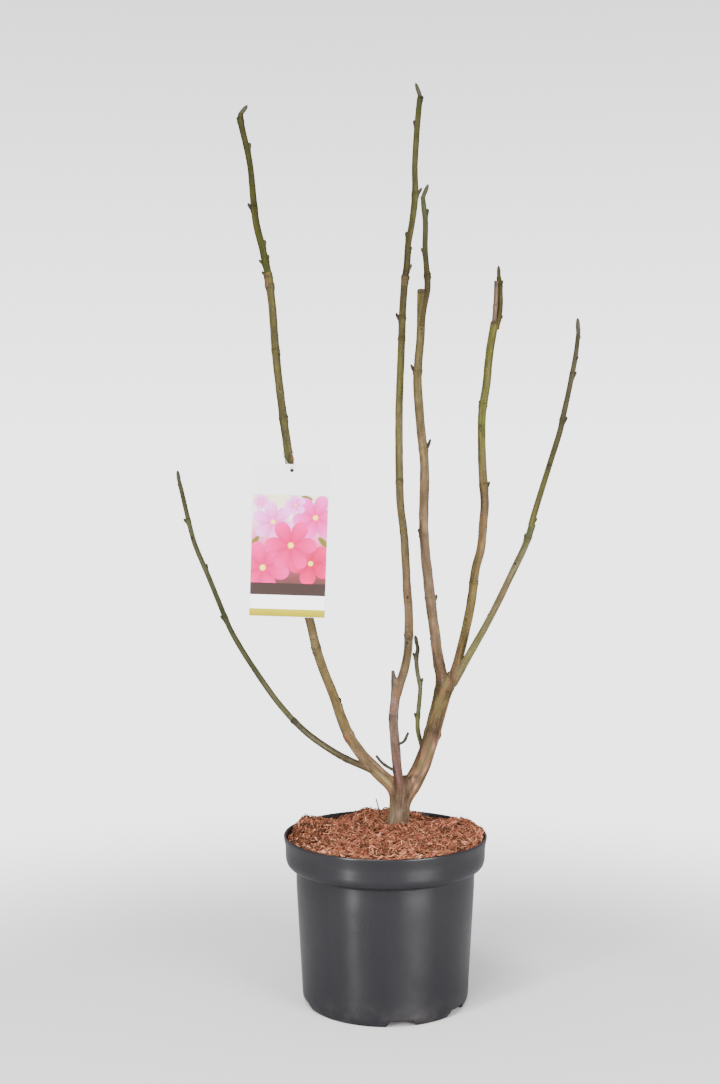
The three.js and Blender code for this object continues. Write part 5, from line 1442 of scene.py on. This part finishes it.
for top, tone in ((BAND_TOP, (88, 64, 60)), (STRIP_TOP, (250, 249, 247)), (BAR_TOP, (196, 189, 0))):
    ink = np.where((down > top)[..., None], seen_as(tone), ink)
sheet = [hung(right, down, CARD_THICKNESS + INK), hung(right, down, CARD_THICKNESS - INK)]
sheet_quads = grid_quads(*right.shape, around=False)
number = np.arange(right.size).reshape(right.shape)
border = np.concatenate([number[0, :-1], number[:-1, -1], number[-1, :0:-1], number[:0:-1, 0]])
edge_quads = np.stack([border, np.roll(border, -1), np.roll(border, -1) + right.size,
                       border + right.size], axis=-1)
print_skin = put_mesh("tag_print", np.reshape(sheet, (-1, 3)), np.concatenate(
    [sheet_quads[:, ::-1], sheet_quads + right.size, edge_quads]))
paint(print_skin, "ink", np.concatenate([ink, ink]))
printed, tree, shader = plain_material("printed_ink", (0.8, 0.5, 0.6), 0.3)
screen = relief(tree, 1100, 2)
screened = blend_colour(tree, SCREEN_DEPTH, attribute(tree, "ink", "Color"),
                        ramp(tree, screen, [(0.3, 0.4), (0.7, 1.0)]), "MULTIPLY")
tree.links.new(screened, shader.inputs["Base Color"])
bump(tree, screen, shader, 0.2, 0.00002)
print_skin.data.materials.append(printed)
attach(print_skin, "root")
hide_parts("plant_tag")

# ------------------------------------------------------------------------------ tag's tie
# A closed loop of clear nylon hangs the card: round the back of the leader, down its front and
# through the punched hole. A short red sleeve sits on its right strand.

TIE_RADIUS, TIE_HEIGHT, TIE_SLACK = 0.45, 656.0, 1.05
TIE_SIDES, SLEEVE_SIDES = 10, 12
SLEEVE_RUN = slice(34, 46)            # the points of the loop that the sleeve is threaded on
SLEEVE_RADIUS, SLEEVE_ENDS = 0.9, [0.52, 0.8]


def ring_tube(line, radius, sides, closed):
    """The rings of a tube along a line: its middle plus side * r cos a plus up * r sin a, side
    being across both the line and a fixed slanting direction."""
    following = np.roll(line, -1, axis=0) if closed else np.concatenate(
        [line[1:], 2 * line[-1:] - line[-2:-1]])
    leading = np.roll(line, 1, axis=0) if closed else np.concatenate(
        [2 * line[:1] - line[1:2], line[:-1]])
    ahead = following - leading
    ahead /= np.linalg.norm(ahead, axis=1, keepdims=True)
    side = np.cross((1, 0.2, 0), ahead)
    side /= np.linalg.norm(side, axis=1, keepdims=True)
    up = np.cross(side, ahead)
    turn = np.linspace(0, 2 * np.pi, sides, endpoint=False)[None, :, None]
    return (line[:, None] + radius[:, None, None] * (side[:, None] * np.cos(turn)
                                                      + up[:, None] * np.sin(turn)))


leader = LIMBS["left_leader"]
at_tie = at_height(leader, TIE_HEIGHT)
centre = frame_at(leader, at_tie)[0]
clear = np.interp(at_tie, leader["s"], leader["radius"]) + TIE_SLACK
through_hole = hung(HOLE[0], HOLE[1] - HOLE_RADIUS + TIE_RADIUS + 0.3, CARD_THICKNESS / 2)
# The loop's stops round the leader are in shares of its clear radius to the right and back, and
# in millimetres up, and those at the hole are all in millimetres.
by_leader = [centre + np.array((clear * right, clear * back, up)) for right, back, up in (
    (0, 1, 1), (0.95, 0.3, 0), (0.8, -0.9, -2), (-0.5, -1.02, -9), (-0.95, -0.3, -1),
    (-0.7, 0.75, 1))]
by_hole = [through_hole + np.array(away) for away in (
    (2.4, -2.6, 7), (0.6, -2.2, 1.2), (0, 0, 0), (-0.6, 2.2, 1.2))]
loop_line = through(by_leader[:3] + by_hole + by_leader[3:], closed=True, fine=16)[:-1]
skin = ring_tube(loop_line, np.full(len(loop_line), TIE_RADIUS), TIE_SIDES, closed=True)
tie = put_mesh("tag_loop", skin.reshape(-1, 3),
               grid_quads(len(loop_line), TIE_SIDES, closed=True)[:, ::-1])
nylon, tree, shader = plain_material("clear_nylon", (0.80, 0.81, 0.80), 0.22)
drawn = relief(tree, 600, 2)
tree.links.new(ranged(tree, drawn, 0.0, 1.0, 0.15, 0.32), shader.inputs["Roughness"])
shader.inputs["Transmission Weight"].default_value = 0.55
tie.data.materials.append(nylon)
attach(tie, "root")
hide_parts("tag_tie")

strand = loop_line[SLEEVE_RUN]
between = [SLEEVE_RADIUS] * (len(strand) - 2 * len(SLEEVE_ENDS))
skin = ring_tube(strand, np.array(SLEEVE_ENDS + between + SLEEVE_ENDS[::-1]), SLEEVE_SIDES,
                 closed=False)
points = np.concatenate([skin.reshape(-1, 3), strand[:1], strand[-1:]])
sleeve = put_mesh("tie_sleeve", points, grid_quads(len(strand), SLEEVE_SIDES)[:, ::-1],
                  both_ends(len(strand), SLEEVE_SIDES))
red, tree, shader = plain_material("red_sleeve", (0.24, 0.05, 0.04), 0.4)
worn = relief(tree, 500, 3)
tree.links.new(ramp(tree, worn, [(0.3, (0.19, 0.036, 0.03)), (0.7, (0.29, 0.07, 0.05))]),
               shader.inputs["Base Color"])
sleeve.data.materials.append(red)
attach(sleeve, "root")
